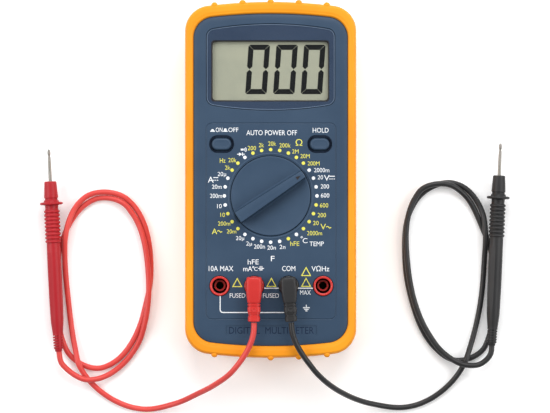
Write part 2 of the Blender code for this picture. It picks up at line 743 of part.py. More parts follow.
def build_plug(colour, jack_x, turn):
    """A right-angle shrouded plug: base, boot with strain-relief rings, and its pin."""
    boot = [(0, 5.2), (2.6, 4.9), (3.9, 3.9), (4.15, 2.6), (4.15, -7.4), (3.5, -8.6)]
    for k in range(3):
        start = -8.9 - 2.5 * k
        boot += [(3.45, start), (2.6, start - 0.3), (2.6, start - 1.2)]
    boot += [(3.2, -16.3), (3.2, -18.0), (2.8, -18.4), (0, -18.4)]
    housing = lathe(f"{colour}_plug_housing", boot, 16)
    housing.data.transform(Matrix.Rotation(-math.pi / 2, 4, "X"))
    housing.data.transform(Matrix.Translation((0, 0, PLUG_Z * MM)))
    stem = [
        (0, 36.2),
        (4.0, 36.2),
        (4.9, 33.6),
        (4.9, 31.6),
        (3.85, 31.6),
        (3.85, 16.0),
        (3.45, 16.0),
        (3.45, 31.0),
        (0, 31.0),
    ]
    combine(housing, lathe(f"{colour}_plug_base", stem, 20), "UNION")
    combine(housing, rod(f"{colour}_pin_bore", 2.25, 30, 35.3, (0, 0), 14))
    housing = frozen(housing)
    housing.location = (jack_x * MM, JACK_Y * MM, 0)
    housing.rotation_euler = (0, 0, math.radians(turn))
    keep(housing, f"{colour}_plastic")
    pin_profile = [(0, 35.0), (1.95, 35.0), (1.95, 17.0), (1.5, 16.2), (0, 16.2)]
    pin = lathe(f"{colour}_plug_pin", pin_profile, 16)
    pin.location = (jack_x * MM, JACK_Y * MM, 0)
    keep(pin, "nickel")


def handle_profile():
    """The probe's handle, tip end first, as (radius, distance from the tip)."""
    points = [(0, 17.4), (2.6, 17.4), (3.4, 18.4), (3.9, 25.8), (2.9, 26.6), (2.9, 27.8)]
    points += [(5.2, 28.3), (6.5, 29.0), (6.5, 30.2), (5.2, 31.0), (3.5, 31.8)]
    for k in range(8):
        start = 33.0 + 2.28 * k
        points += [(3.55, start), (4.3, start + 0.5), (4.3, start + 1.3)]
    points += [(3.55, 51.6), (3.65, 52.6), (3.75, 70.0), (3.65, 91.6), (2.9, 99.4)]
    for k in range(3):
        start = 99.8 + 2.7 * k
        points += [(2.75, start), (2.2, start + 0.3), (2.2, start + 1.1)]
    return points + [(2.6, 107.9), (2.2, PROBE_LENGTH), (0, PROBE_LENGTH)]


def build_probe(colour, tail, tilt):
    """A probe lying along Y, its tip towards +Y, held level at the height of its flange."""
    handle = lathe(f"{colour}_probe_handle", [(r, -s) for r, s in handle_profile()], 12)
    combine(handle, rod(f"{colour}_tip_bore", 1.35, -30.0, -10.0, (0, 0), 10))
    tip = [(0, 0), (0.55, -0.4), (0.85, -1.4), (0.85, -2.9), (0.65, -3.4), (0.8, -4.0)]
    tip += [(1.0, -9.0), (1.0, -29.0), (0, -29.0)]
    point = lathe(f"{colour}_probe_tip", tip, 10)
    handle = frozen(handle)
    lay = Matrix.Rotation(math.radians(tilt), 4, "Z") @ Matrix.Rotation(-math.pi / 2, 4, "X")
    offset = lay.to_3x3() @ Vector((0, 0, PROBE_LENGTH * MM))
    for obj, key in ((handle, f"{colour}_plastic"), (point, "nickel")):
        obj.rotation_euler = lay.to_euler()
        obj.location = Vector((tail[0] * MM, tail[1] * MM, PROBE_Z * MM)) + offset
        keep(obj, key)


def build_leads():
    build_plug("red", JACKS[1][1], 0.0)
    build_plug("black", JACKS[2][1], BLACK_PLUG_TURN)
    build_probe("red", RED_TAIL, RED_TILT)
    build_probe("black", BLACK_TAIL, BLACK_TILT)
    for colour, route in (("red", RED_ROUTE), ("black", BLACK_ROUTE)):
        line = curve_through(route, 170, CORD_RADIUS + 0.05)
        keep(tube(f"{colour}_lead_wire", line, CORD_RADIUS), f"{colour}_cord")


clear_scene()
PARTS = new_collection("digital_multimeter")
CUTTERS = new_collection("cutters")
build_holster()
build_tilt_stand()
build_rear_case()
build_front_case()
build_screws()
build_battery()
build_display()
build_board()
build_fuses()
build_dial()
build_buttons()
build_jacks()
build_leads()
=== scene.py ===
import math

import bmesh
import bpy
from mathutils import Matrix, Vector


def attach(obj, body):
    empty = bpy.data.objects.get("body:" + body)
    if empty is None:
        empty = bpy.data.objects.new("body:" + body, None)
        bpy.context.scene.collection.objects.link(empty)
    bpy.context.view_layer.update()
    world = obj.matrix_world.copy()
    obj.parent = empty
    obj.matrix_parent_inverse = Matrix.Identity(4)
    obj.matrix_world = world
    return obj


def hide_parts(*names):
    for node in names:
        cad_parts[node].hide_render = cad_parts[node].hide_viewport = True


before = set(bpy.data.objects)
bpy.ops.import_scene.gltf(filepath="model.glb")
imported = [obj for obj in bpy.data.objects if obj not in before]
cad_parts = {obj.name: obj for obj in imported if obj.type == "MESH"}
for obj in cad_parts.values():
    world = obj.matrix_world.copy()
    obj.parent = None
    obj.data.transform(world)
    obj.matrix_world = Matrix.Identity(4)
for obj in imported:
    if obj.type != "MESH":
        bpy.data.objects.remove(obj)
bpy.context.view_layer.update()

MM = 0.001
END_RADIUS = 268.0
DIAL_Y = -8.5
POINTER = math.radians(33.75)
JACK_Y = -56.0
JACKS = (("10a", -26.9), ("ma", -8.7), ("com", 9.5), ("volt", 27.7))
FACE = 30.3
PLUG_Z = 36.6
CORD_RADIUS = 1.5
PROBE_Z = 7.0
PROBE_LENGTH = 108.4
PRINT_LOW, PRINT_TOP = FACE + 0.005, FACE + 0.05
SCREW_AT = (35.6, 82)
DOOR_AT = (-0.5, 14.0)
DOOR_SCREW_AT = (29.0, 14.0)
PLATE_AT = (0.4, -79.4)
STAND_HINGE = (40.0, 1.55)
RIB_PITCH = 14.85
LCD_HOLE = (62.4, 32.4, 1.6, 6)
CAVITY = (43.2, 91.8, 11.5, END_RADIUS)

# The view: mm per pixel on the face, lens in pixels, camera height and centre in mm.
PIXEL = 0.534
LEGEND_PIXEL = 0.5277
FOCAL = 880
CAMERA_HEIGHT = 900
CAMERA_Y = -14.1

RED_ROUTE = [
    (-8.7, -74.9, 36.6), (-8.8, -79.1, 36.6), (-20.1, -100.8, 32.7), (-30.3, -109.2, 24.2),
    (-39.2, -114.6, 15.2), (-51.6, -120.9, 6), (-69.9, -124.5, 1.9), (-74.6, -123.8, 1.7),
    (-102.4, -103.7, 3.9), (-104.2, -100.1, 4.9), (-106, -93.3, 3.5), (-110.4, -65.2, 1.6),
    (-112, -35.7, 3.9), (-111.7, -31.6, 4.8), (-103.9, -11.7, 3.6), (-100.7, -8.9, 3.7),
    (-78.5, -9.9, 2.5), (-75.5, -12.8, 1.6), (-65.4, -50.3, 1.6), (-69.1, -71.5, 1.6),
    (-70.3, -76, 1.6), (-88.1, -100.5, 1.6), (-92, -102, 1.6), (-110.9, -93.2, 1.6),
    (-112.8, -89.1, 1.6), (-116.1, -62.1, 1.6), (-115.9, -58.1, 1.6), (-114.8, -36.6, 1.6),
    (-100, -12.3, 1.6), (-96.4, -10.3, 1.7), (-79.1, -13.2, 3.5), (-75.4, -17.8, 3.2),
    (-66.5, -50.9, 4.8), (-69.1, -80, 3.6), (-70.8, -85.5, 2.7), (-94.6, -107.8, 4.9),
    (-98.6, -108.2, 5.9), (-110.6, -102.2, 6.3), (-113.4, -99, 6.8), (-114.9, -92, 7),
]
BLACK_ROUTE = [
    (10.8, -74.9, 36.6), (11.2, -79.1, 36.6), (22.1, -99.2, 33.3), (34.8, -111.5, 21.5),
    (37.3, -113.2, 18.9), (55.7, -121.4, 5), (73.3, -123.5, 1.8), (77.3, -122.8, 1.7),
    (103.2, -103.2, 3.6), (106, -97.4, 4.8), (107.6, -93.1, 3.7), (114.5, -65.3, 1.6),
    (116.2, -44.7, 2.5), (116.5, -26.1, 4.8), (115.6, -18.7, 3.4), (103.4, -2.6, 1.6),
    (99.4, -1.3, 1.6), (80.7, -8.8, 1.6), (76.9, -14.7, 1.6), (73.2, -43, 1.6), (75.6, -60.4, 1.6),
    (90.3, -91.8, 1.6), (95.1, -95.8, 1.6), (98.7, -97.5, 1.6), (116.6, -90.8, 1.6),
    (118.4, -86.5, 1.6), (120.6, -47.2, 1.6), (120.3, -39.9, 1.6), (115.8, -26.8, 1.6),
    (104.1, -6.5, 3.1), (98.3, -2.7, 4.5), (80.9, -5.8, 4.7), (78.6, -9.2, 4.7), (74.7, -48.4, 4.8),
    (85.7, -83.2, 4.7), (93, -92.9, 5.3), (106.8, -100.1, 7.8), (113.4, -99.5, 7.2),
    (119.3, -93.6, 7), (119.8, -88.6, 7),
]


# ---------------------------------------------------------------- materials


def srgb(r, g, b):
    out = []
    for c in (r, g, b):
        c = c / 255
        out.append(c / 12.92 if c <= 0.04045 else ((c + 0.055) / 1.055) ** 2.4)
    return (*out, 1)


class Nodes:
    """Short helpers for building one material's node tree."""

    def __init__(self, name, roughness=0.5, metallic=0.0, specular=0.5, sheen=0.0, coat=0.0):
        self.material = bpy.data.materials.new(name)
        self.material.use_nodes = True
        self.tree = self.material.node_tree
        self.shader = self.tree.nodes["Principled BSDF"]
        self.set(self.shader, "Roughness", roughness)
        self.set(self.shader, "Metallic", metallic)
        self.set(self.shader, "Specular IOR Level", specular)
        if sheen:
            self.set(self.shader, "Sheen Weight", sheen)
            self.set(self.shader, "Sheen Roughness", 0.4)
        if coat:
            self.set(self.shader, "Coat Weight", coat)
            self.set(self.shader, "Coat Roughness", 0.06)
        self.coords = self.tree.nodes.new("ShaderNodeTexCoord").outputs["Object"]

    def set(self, node, socket, value):
        node.inputs[socket].default_value = value

    def link(self, a, b):
        self.tree.links.new(a, b)

    def noise(self, scale, detail=2.0, rough=0.5, vector=None):
        node = self.tree.nodes.new("ShaderNodeTexNoise")
        for socket, value in (("Scale", scale), ("Detail", detail), ("Roughness", rough)):
            self.set(node, socket, value)
        self.link(self.coords if vector is None else vector, node.inputs["Vector"])
        return node.outputs["Fac"]

    def stretched(self, x, y, z):
        node = self.tree.nodes.new("ShaderNodeMapping")
        self.set(node, "Scale", (x, y, z))
        self.link(self.coords, node.inputs["Vector"])
        return node.outputs["Vector"]

    def ramp(self, fac, stops):
        node = self.tree.nodes.new("ShaderNodeValToRGB")
        ramp = node.color_ramp
        while len(ramp.elements) < len(stops):
            ramp.elements.new(0.5)
        for element, (at, colour) in zip(ramp.elements, stops):
            element.position = at
            element.color = colour
        self.link(fac, node.inputs["Fac"])
        return node.outputs["Color"]

    def mix(self, fac, a, b):
        node = self.tree.nodes.new("ShaderNodeMix")
        node.data_type = "RGBA"
        for value, socket in ((fac, 0), (a, 6), (b, 7)):
            if isinstance(value, (int, float, tuple)):
                self.set(node, socket, value)
            else:
                self.link(value, node.inputs[socket])
        return node.outputs[2]

    def math(self, operation, a, b):
        node = self.tree.nodes.new("ShaderNodeMath")
        node.operation = operation
        for value, socket in ((a, 0), (b, 1)):
            if isinstance(value, (int, float)):
                self.set(node, socket, value)
            else:
                self.link(value, node.inputs[socket])
        return node.outputs[0]

    def range(self, fac, low, high, start=0.0, end=1.0):
        node = self.tree.nodes.new("ShaderNodeMapRange")
        limits = {"From Min": low, "From Max": high, "To Min": start, "To Max": end}
        for socket, value in limits.items():
            self.set(node, socket, value)
        self.link(fac, node.inputs["Value"])
        return node.outputs["Result"]

    def colour(self, output):
        self.link(output, self.shader.inputs["Base Color"])

    def roughness(self, fac, low, high):
        self.link(self.range(fac, 0.25, 0.75, low, high), self.shader.inputs["Roughness"])

    def bump(self, height, distance, strength=0.6):
        node = self.tree.nodes.new("ShaderNodeBump")
        self.set(node, "Strength", strength)
        self.set(node, "Distance", distance)
        self.link(height, node.inputs["Height"])
        self.link(node.outputs["Normal"], self.shader.inputs["Normal"])

    def painted_edge_highlight(self):
        """1 on sharp outer edges, 0 elsewhere, from the surface's pointiness; used to paint a
        highlight on those edges.
        """
        geometry = self.tree.nodes.new("ShaderNodeNewGeometry")
        return self.range(geometry.outputs["Pointiness"], 0.51, 0.60)


def moulded(name, base, light, rough, grain=2600.0, depth=0.00004, specular=0.4, edge_light=0.25):
    """Spark-textured moulded plastic: fine grain, soft mottling, and outer edges made slightly
    paler as a painted highlight.
    """
    n = Nodes(name, rough, specular=specular)
    blotch = n.noise(38.0, 3.0, 0.55)
    fine = n.noise(grain, 2.0, 0.6)
    tone = n.ramp(blotch, ((0.3, base), (0.7, light)))
    speck = n.mix(n.range(fine, 0.35, 0.7, 0.0, 0.16), tone, light)
    highlight_tone = tuple(min(1.0, c * 1.6 + 0.01) for c in light[:3]) + (1,)
    # Outer edges are made paler by the pointiness mask: a painted highlight, its strength set by
    # the last argument.
    n.colour(n.mix(n.math("MULTIPLY", n.painted_edge_highlight(), edge_light), speck, highlight_tone) if edge_light else speck)
    n.roughness(fine, rough - 0.05, rough + 0.08)
    n.bump(fine, depth, 0.5)
    return n.material


def rubber(name, base, light, deep, rough=0.55, sheen=0.25):
    """Soft moulded rubber: smooth, a little uneven in tone, with faint flow marks."""
    n = Nodes(name, rough, specular=0.35, sheen=sheen)
    blotch = n.noise(22.0, 3.0, 0.5)
    flow = n.noise(160.0, 2.0, 0.5, n.stretched(1.0, 0.25, 1.0))
    fine = n.noise(3200.0, 2.0, 0.5)
    tone = n.ramp(blotch, ((0.3, deep), (0.5, base), (0.75, light)))
    tone = n.mix(n.range(flow, 0.4, 0.7, 0.0, 0.14), tone, light)
    # Outer edges are made paler by the pointiness mask: a painted highlight.
    n.colour(n.mix(n.math("MULTIPLY", n.painted_edge_highlight(), 0.22), tone, light))
    n.roughness(fine, rough - 0.04, rough + 0.08)
    n.bump(fine, 0.00003, 0.4)
    return n.material


def glossy(name, base, light, rough, coat, grain=900.0, edge_light=0.3):
    """Smooth plastic, glaze or print, with faint mottling under the gloss."""
    n = Nodes(name, rough, coat=coat)
    fine = n.noise(grain, 2.0, 0.5)
    blotch = n.noise(60.0, 2.0, 0.5)
    tone = n.ramp(blotch, ((0.3, base), (0.7, light)))
    highlight_tone = tuple(min(1.0, c * 1.3 + 0.02) for c in light[:3]) + (1,)
    # Outer edges are made paler by the pointiness mask: a painted highlight, its strength set by
    # the last argument.
    n.colour(n.mix(n.math("MULTIPLY", n.painted_edge_highlight(), edge_light), tone, highlight_tone) if edge_light else tone)
    n.roughness(fine, rough - 0.05, rough + 0.1)
    n.bump(fine, 0.00002, 0.3)
    return n.material


def metal(name, base, light, rough):
    n = Nodes(name, rough, metallic=1.0)
    streak = n.noise(700.0, 3.0, 0.6, n.stretched(1.0, 1.0, 18.0))
    n.colour(n.ramp(streak, ((0.3, base), (0.7, light))))
    n.roughness(streak, rough - 0.08, rough + 0.12)
    n.bump(streak, 0.00001, 0.3)
    return n.material


def printed(name, base, light):
    """Screen-printed ink: slightly uneven coverage."""
    n = Nodes(name, 0.6, specular=0.12)
    fine = n.noise(1800.0, 3.0, 0.6)
    n.colour(n.ramp(fine, ((0.3, base), (0.65, light))))
    n.roughness(fine, 0.5, 0.65)
    return n.material


def lcd_material():
    n = Nodes("lcd_grey_green", 0.5, specular=0.15)
    blotch = n.noise(55.0, 3.0, 0.6)
    fine = n.noise(2600.0, 3.0, 0.7)
    tone = n.ramp(blotch, ((0.3, srgb(157, 160, 142)), (0.7, srgb(169, 170, 149))))
    n.colour(n.mix(n.range(fine, 0.3, 0.7, 0.0, 0.35), tone, srgb(146, 148, 135)))
    n.roughness(fine, 0.36, 0.5)
    n.bump(fine, 0.00002, 0.25)
    return n.material


def clear_material():
    n = Nodes("clear_pane", 0.04, specular=0.5)
    fine = n.noise(40.0, 2.0, 0.5)
    n.colour(n.ramp(fine, ((0.3, (0.05, 0.06, 0.07, 1)), (0.7, (0.08, 0.09, 0.1, 1)))))
    n.set(n.shader, "Alpha", 0.04)
    return n.material


def board_material():
    n = Nodes("solder_mask", 0.35, coat=0.3)
    fine = n.noise(300.0, 3.0, 0.5, n.stretched(1.0, 6.0, 1.0))
    n.colour(n.ramp(fine, ((0.42, (0.01, 0.10, 0.04, 1)), (0.55, (0.02, 0.17, 0.06, 1)))))
    n.bump(fine, 0.00003, 0.4)
    return n.material


ORANGE = rubber(
    "holster_rubber", srgb(238, 147, 8), srgb(242, 157, 20), srgb(230, 138, 4), 0.6, 0.08
)
BLUE = moulded("case_plastic", srgb(45, 65, 87), srgb(53, 73, 95), 0.45, specular=0.3, edge_light=0)
BLUE_KNOB = moulded("knob_plastic", srgb(48, 68, 90), srgb(56, 76, 98), 0.45, specular=0.3)
BLUE_LENS = glossy("lens_border_ink", srgb(37, 55, 80), srgb(43, 61, 86), 0.3, 0.0, 1800.0, edge_light=0)
LCD = lcd_material()
CLEAR = clear_material()
INK_WHITE = printed("ink_white", srgb(226, 230, 234), srgb(246, 248, 250))
INK_YELLOW = printed("ink_yellow", srgb(214, 208, 84), srgb(232, 226, 104))
INK_BLACK = printed("segment_black", srgb(7, 8, 7), srgb(14, 15, 13))
RED_PLASTIC = moulded(
    "red_moulding", srgb(186, 40, 38), srgb(200, 52, 47), 0.4, edge_light=0.3, specular=0.3
)
BLACK_PLASTIC = moulded(
    "black_moulding", srgb(34, 34, 35), srgb(44, 44, 45), 0.45, edge_light=0.3, specular=0.3
)
RED_HANDLE = moulded(
    "red_handle_moulding", srgb(158, 24, 34), srgb(174, 34, 42), 0.42, edge_light=0.2, specular=0.28
)
RED_DEEP = moulded("red_jack_moulding", srgb(170, 36, 36), srgb(196, 48, 44), 0.35)
# Near-black: the real black inner parts and marks, and also painted shade round the LCD opening and
# inside the jacks.
DARK = moulded("black_parts_and_painted_shade", srgb(18, 14, 16), srgb(28, 22, 24), 0.5)
NICKEL = metal("nickel_plate", (0.20, 0.19, 0.17, 1), (0.30, 0.285, 0.26, 1), 0.34)
BRASS = metal("bare_brass", (0.62, 0.44, 0.16, 1), (0.80, 0.62, 0.28, 1), 0.3)
STEEL = metal("bright_steel", (0.45, 0.45, 0.45, 1), (0.65, 0.65, 0.66, 1), 0.28)
BOARD = board_material()
CERAMIC = glossy("fuse_ceramic", srgb(226, 222, 208), srgb(240, 236, 226), 0.2, 0.5)
JACKET = glossy("cell_jacket", srgb(36, 38, 44), srgb(56, 58, 66), 0.3, 0.3)
ELASTOMER = rubber("contact_elastomer", srgb(110, 110, 110), srgb(140, 140, 140), srgb(80, 80, 80))
# Brass darkened almost to black for the sockets deep in the jacks: painted shade.
SHADED_BRASS = metal("brass_painted_shade", (0.035, 0.025, 0.014, 1), (0.06, 0.045, 0.025, 1), 0.5)
JACK_RED = glossy("jack_red", srgb(190, 40, 36), srgb(204, 52, 46), 0.35, 0.05)
JACK_BLACK = glossy("jack_black", srgb(34, 34, 36), srgb(48, 48, 50), 0.32, 0.1)
# Lighter blue for the lens rim bead: a painted highlight where the rim's chamfer catches the light.
BLUE_RIM_HIGHLIGHT = moulded("lens_rim_highlight", srgb(84, 104, 128), srgb(96, 116, 140), 0.4)
# A darker navy for the button wells: painted shade round the caps.
NAVY_SHADE = moulded("case_painted_shade", srgb(24, 34, 52), srgb(30, 42, 62), 0.6, specular=0.15, edge_light=0)
INK_NAVY = printed("ink_navy", srgb(24, 36, 56), srgb(32, 46, 68))


# ---------------------------------------------------------------- mesh helpers


def mesh_object(name, mesh):
    obj = bpy.data.objects.new(name, mesh)
    bpy.context.scene.collection.objects.link(obj)
    return obj


def built(name, body, recalculate=True):
    """Turns a bmesh into an object in the scene."""
    if recalculate:
        bmesh.ops.recalc_face_normals(body, faces=body.faces)
    mesh = bpy.data.meshes.new(name)
    body.to_mesh(mesh)
    body.free()
    return mesh_object(name, mesh)


def finished(obj, material, body, angle=30, replaces=()):
    """Gives the piece its material, smooth faces and its body, and hides the CAD nodes it stands
    for.
    """
    obj.data.materials.clear()
    obj.data.materials.append(material)
    if obj.type == "MESH":
        obj.data.shade_smooth()
        obj.data.set_sharp_from_angle(angle=math.radians(angle))
        even = obj.modifiers.new("Weighted", "WEIGHTED_NORMAL")
        even.keep_sharp = True
    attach(obj, body)
    if replaces:
        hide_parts(*replaces)
    return obj


def frozen(obj):
    bpy.context.view_layer.update()
    graph = bpy.context.evaluated_depsgraph_get()
    mesh = bpy.data.meshes.new_from_object(obj.evaluated_get(graph))
    name = obj.name
    world = obj.matrix_world.copy()
    bpy.data.objects.remove(obj, do_unlink=True)
    mesh.transform(world)
    body = bmesh.new()
    body.from_mesh(mesh)
    bmesh.ops.remove_doubles(body, verts=body.verts, dist=0.000002)
    bmesh.ops.recalc_face_normals(body, faces=body.faces)
    body.to_mesh(mesh)
    body.free()
    return mesh_object(name, mesh)


def combine(obj, tool, operation="DIFFERENCE"):
    modifier = obj.modifiers.new(operation.title(), "BOOLEAN")
    modifier.operation = operation
    modifier.solver = "EXACT"
    modifier.object = tool
    obj = frozen(obj)
    bpy.data.objects.remove(tool, do_unlink=True)
    return obj


def joined(name, pieces):
    body = bmesh.new()
    for piece in pieces:
        piece = frozen(piece)
        body.from_mesh(piece.data)
        bpy.data.objects.remove(piece, do_unlink=True)
    return built(name, body, recalculate=False)


def outline(half_w, half_l, corner, end_radius=END_RADIUS):
    """The rounded outline of the meter, with bowed ends."""
    corner_steps, end_steps = 14, 12
    centre_y = half_l - end_radius
    reach = half_w - corner
    corner_y = centre_y + math.sqrt((end_radius - corner) ** 2 - reach**2)
    lean = math.asin(reach / (end_radius - corner))
    quarter = [(half_w, corner_y * k / 8) for k in range(8)]
    for i in range(corner_steps + 1):
        turn = (math.pi / 2 - lean) * i / corner_steps
        quarter.append((reach + corner * math.cos(turn), corner_y + corner * math.sin(turn)))
    for i in range(1, end_steps + 1):
        turn = lean * (1 - i / end_steps)
        quarter.append((end_radius * math.sin(turn), centre_y + end_radius * math.cos(turn)))
    top = quarter + [(-x, y) for x, y in reversed(quarter[1:-1])]
    return top + [(-x, -y) for x, y in top]


def round_rect(width, height, corner, steps=8):
    points = []
    for k, (sx, sy) in enumerate(((1, 1), (-1, 1), (-1, -1), (1, -1))):
        for i in range(steps + 1):
            turn = math.pi / 2 * (k + i / steps)
            x = sx * (width / 2 - corner) + corner * math.cos(turn)
            y = sy * (height / 2 - corner) + corner * math.sin(turn)
            points.append((x, y))
    return points


def moved(points, dx, dy):
    return [(x + dx, y + dy) for x, y in points]


def inset_rect(width, height, corner, steps=8, at=(0, 0), tighten=1.0):
    """A rounded rectangle as a function of how far it is moved in."""

    def shape(inset):
        rounding = corner - inset * tighten
        return moved(round_rect(width - 2 * inset, height - 2 * inset, rounding, steps), *at)

    return shape


def skin(body, rows, closed=False):
    """Faces between neighbouring rows of vertices; repeated corners collapse to triangles."""
    pairs = list(zip(rows, rows[1:]))
    if closed:
        pairs.append((rows[-1], rows[0]))
    for low, high in pairs:
        for i in range(len(low)):
            j = (i + 1) % len(low)
            corners = []
            for vert in (low[i], low[j], high[j], high[i]):
                if vert not in corners:
                    corners.append(vert)
            if len(corners) > 2:
                body.faces.new(corners)


def loft(name, rings, closed=False):
    """Skins rings of equal point counts, (x, y, z) in mm; caps both ends unless closed."""
    body = bmesh.new()
    rows = [[body.verts.new((x * MM, y * MM, z * MM)) for x, y, z in ring] for ring in rings]
    skin(body, rows, closed)
    if not closed:
        body.faces.new(reversed(rows[0]))
        body.faces.new(rows[-1])
    return built(name, body)


def slab(name, points, low, high):
    return loft(name, [[(x, y, z) for x, y in points] for z in (low, high)])


def soft_slab(name, shape, low, high, edge, steps=4, lower=False):
    """A flat piece with rounded upper (and lower) edges; shape(inset) gives its outline."""
    rings = []
    if lower:
        for k in range(steps):
            turn = math.pi / 2 * k / steps
            rings.append((edge * (1 - math.sin(turn)), low + edge * (1 - math.cos(turn))))
        rings.append((0.0, low + edge))
    else:
        rings.append((0.0, low))
    rings.append((0.0, high - edge))
    for k in range(1, steps + 1):
        turn = math.pi / 2 * k / steps
        rings.append((edge * (1 - math.cos(turn)), high - edge + edge * math.sin(turn)))
    return loft(name, [[(x, y, z) for x, y in shape(inset)] for inset, z in rings])


def circle(radius, at, steps=96):
    turns = [2 * math.pi * k / steps for k in range(steps)]
    return [(at[0] + radius * math.cos(t), at[1] + radius * math.sin(t)) for t in turns]


def rod(name, radius, low, high, at=(0, 0), segments=48):
    return slab(name, circle(radius, at, segments), low, high)


def lathe(name, profile, steps=48, at=(0, 0)):
    """Turns a profile of (radius, height) about Z; radius 0 ends on the axis."""
    body = bmesh.new()
    rows = []
    for r, z in profile:
        if r < 1e-6:
            rows.append([body.verts.new((at[0] * MM, at[1] * MM, z * MM))] * steps)
            continue
        rows.append([body.verts.new((x * MM, y * MM, z * MM)) for x, y in circle(r, at, steps)])
    skin(body, rows)
    return built(name, body)


def corner_rods(name, radius, low, high, segments=48):
    """Four rods, one on each case screw."""
    x, y = SCREW_AT
    corners = ((x, y), (x, -y), (-x, y), (-x, -y))
    return [rod(name, radius, low, high, at, segments) for at in corners]


def box(name, size, centre):
    half = [s / 2 for s in size]
    points = [(-half[0], -half[1]), (half[0], -half[1]), (half[0], half[1]), (-half[0], half[1])]
    return slab(name, moved(points, centre[0], centre[1]), centre[2] - half[2], centre[2] + half[2])


def transformed(obj, matrix):
    obj.data.transform(matrix)
    return obj


def place(x, y, z):
    return Matrix.Translation((x * MM, y * MM, z * MM))


def curve_through(route, count, floor):
    """Evenly spaced points on a smooth curve through the route, kept above floor."""
    nodes = [Vector(p) for p in route]
    spans = [(b - a).length for a, b in zip(nodes, nodes[1:])]
    tangents = [(nodes[1] - nodes[0]) / spans[0]]
    for i in range(1, len(nodes) - 1):
        before, after = spans[i - 1], spans[i]
        slope_in = (nodes[i] - nodes[i - 1]) / before
        slope_out = (nodes[i + 1] - nodes[i]) / after
        tangents.append((slope_in * after + slope_out * before) / (before + after))
    tangents.append((nodes[-1] - nodes[-2]) / spans[-1])
    points = []
    total = sum(spans)
    span, start = 0, 0.0
    for k in range(count):
        at = total * k / (count - 1)
        while span < len(spans) - 1 and at > start + spans[span]:
            start += spans[span]
            span += 1
        h = spans[span]
        u = min((at - start) / h, 1.0)
        point = nodes[span] * (2 * u**3 - 3 * u**2 + 1)
        point += tangents[span] * (h * (u**3 - 2 * u**2 + u))
        point += nodes[span + 1] * (3 * u**2 - 2 * u**3)
        point += tangents[span + 1] * (h * (u**3 - u**2))
        point.z = max(point.z, floor)
        points.append(point)
    return points


def face_point(u, v, z=FACE):
    """Millimetres on the face for a place in the 550 by 413 view, on a plane at height z."""
    scale = PIXEL * (CAMERA_HEIGHT - z) / FOCAL
    middle = 270.6 + 1.2 * (v - 180) / 310
    return (u - middle) * scale, CAMERA_Y + (206.5 - v) * scale


# ---------------------------------------------------------------- camera, light, floor


def build_stage():
    camera_data = bpy.data.cameras.new("camera")
    camera_data.sensor_width = 36.0
    camera_data.lens = 36.0 * FOCAL / (550 * PIXEL)
    camera_data.clip_start = 0.05
    camera_data.clip_end = 20.0
    camera = bpy.data.objects.new("camera", camera_data)
    camera.location = (2.3 * MM, CAMERA_Y * MM, CAMERA_HEIGHT * MM)
    bpy.context.scene.collection.objects.link(camera)
    bpy.context.scene.camera = camera
    world = bpy.data.worlds.new("studio")
    world.use_nodes = True
    background = world.node_tree.nodes["Background"]
    background.inputs["Color"].default_value = (1.0, 1.0, 1.0, 1)
    background.inputs["Strength"].default_value = 0.22
    bpy.context.scene.world = world
    for name, where, size, energy in (
        ("top", (0.1, 1.0, 1.0), 0.9, 14.0),
        ("left", (-1.0, 0.1, 0.9), 0.9, 11.0),
        ("right", (1.0, 0.1, 0.9), 0.9, 10.0),
    ):
        light = bpy.data.lights.new(name, "AREA")
        light.size = size
        light.energy = energy
        lamp = bpy.data.objects.new(name, light)
        lamp.location = where
        direction = Vector((0, 0, 0)) - Vector(where)
        lamp.rotation_euler = direction.to_track_quat("-Z", "Y").to_euler()
        bpy.context.scene.collection.objects.link(lamp)
    floor = slab("floor", [(-1500, -1500), (1500, -1500), (1500, 1500), (-1500, 1500)], -6, -0.05)
    n = Nodes("floor_white", 0.9, specular=0.1)
    fine = n.noise(3.0, 2.0, 0.5)
    n.colour(n.ramp(fine, ((0.3, (0.90, 0.90, 0.90, 1)), (0.7, (0.92, 0.92, 0.92, 1)))))
    n.set(n.shader, "Emission Color", (1, 1, 1, 1))
    n.set(n.shader, "Emission Strength", 0.16)
    floor.data.materials.append(n.material)
    bpy.context.scene.view_settings.view_transform = "Standard"


# ---------------------------------------------------------------- leads


def cord_material(name, base, light):
    n = Nodes(name, 0.4, specular=0.4, sheen=0.1)
    blotch = n.noise(45.0, 3.0, 0.5)
    fine = n.noise(2400.0, 2.0, 0.5)
    tone = n.ramp(blotch, ((0.3, base), (0.7, light)))
    n.colour(n.mix(n.range(fine, 0.35, 0.7, 0.0, 0.12), tone, light))
    n.roughness(fine, 0.34, 0.48)
    n.bump(fine, 0.00003, 0.4)
    return n.material


def build_cord(colour, route, material):
    curve = bpy.data.curves.new(f"{colour}_cord", "CURVE")
    curve.dimensions = "3D"
    curve.bevel_depth = CORD_RADIUS * MM
    curve.bevel_resolution = 6
    curve.use_fill_caps = True
    points = curve_through(route, 360, CORD_RADIUS + 0.05)
    spline = curve.splines.new("POLY")
    spline.points.add(len(points) - 1)
    for point, p in zip(spline.points, points):
        point.co = (p.x * MM, p.y * MM, p.z * MM, 1)
    spline.use_smooth = True
    obj = bpy.data.objects.new(f"{colour}_cord", curve)
    bpy.context.scene.collection.objects.link(obj)
    curve.materials.append(material)
    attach(obj, f"{colour}_lead")
    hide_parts(f"{colour}_lead_wire")
    length = sum((b - a).length for a, b in zip(points, points[1:])) * MM
    return obj, length, points


build_stage()
RED_CORD = cord_material("red_insulation", srgb(204, 62, 58), srgb(216, 74, 68))
BLACK_CORD = cord_material("black_insulation", srgb(30, 30, 31), srgb(40, 40, 41))
for colour, route, material in (
    ("red", RED_ROUTE, RED_CORD),
    ("black", BLACK_ROUTE, BLACK_CORD),
):
    build_cord(colour, route, material)


# ---------------------------------------------------------------- holster and stand


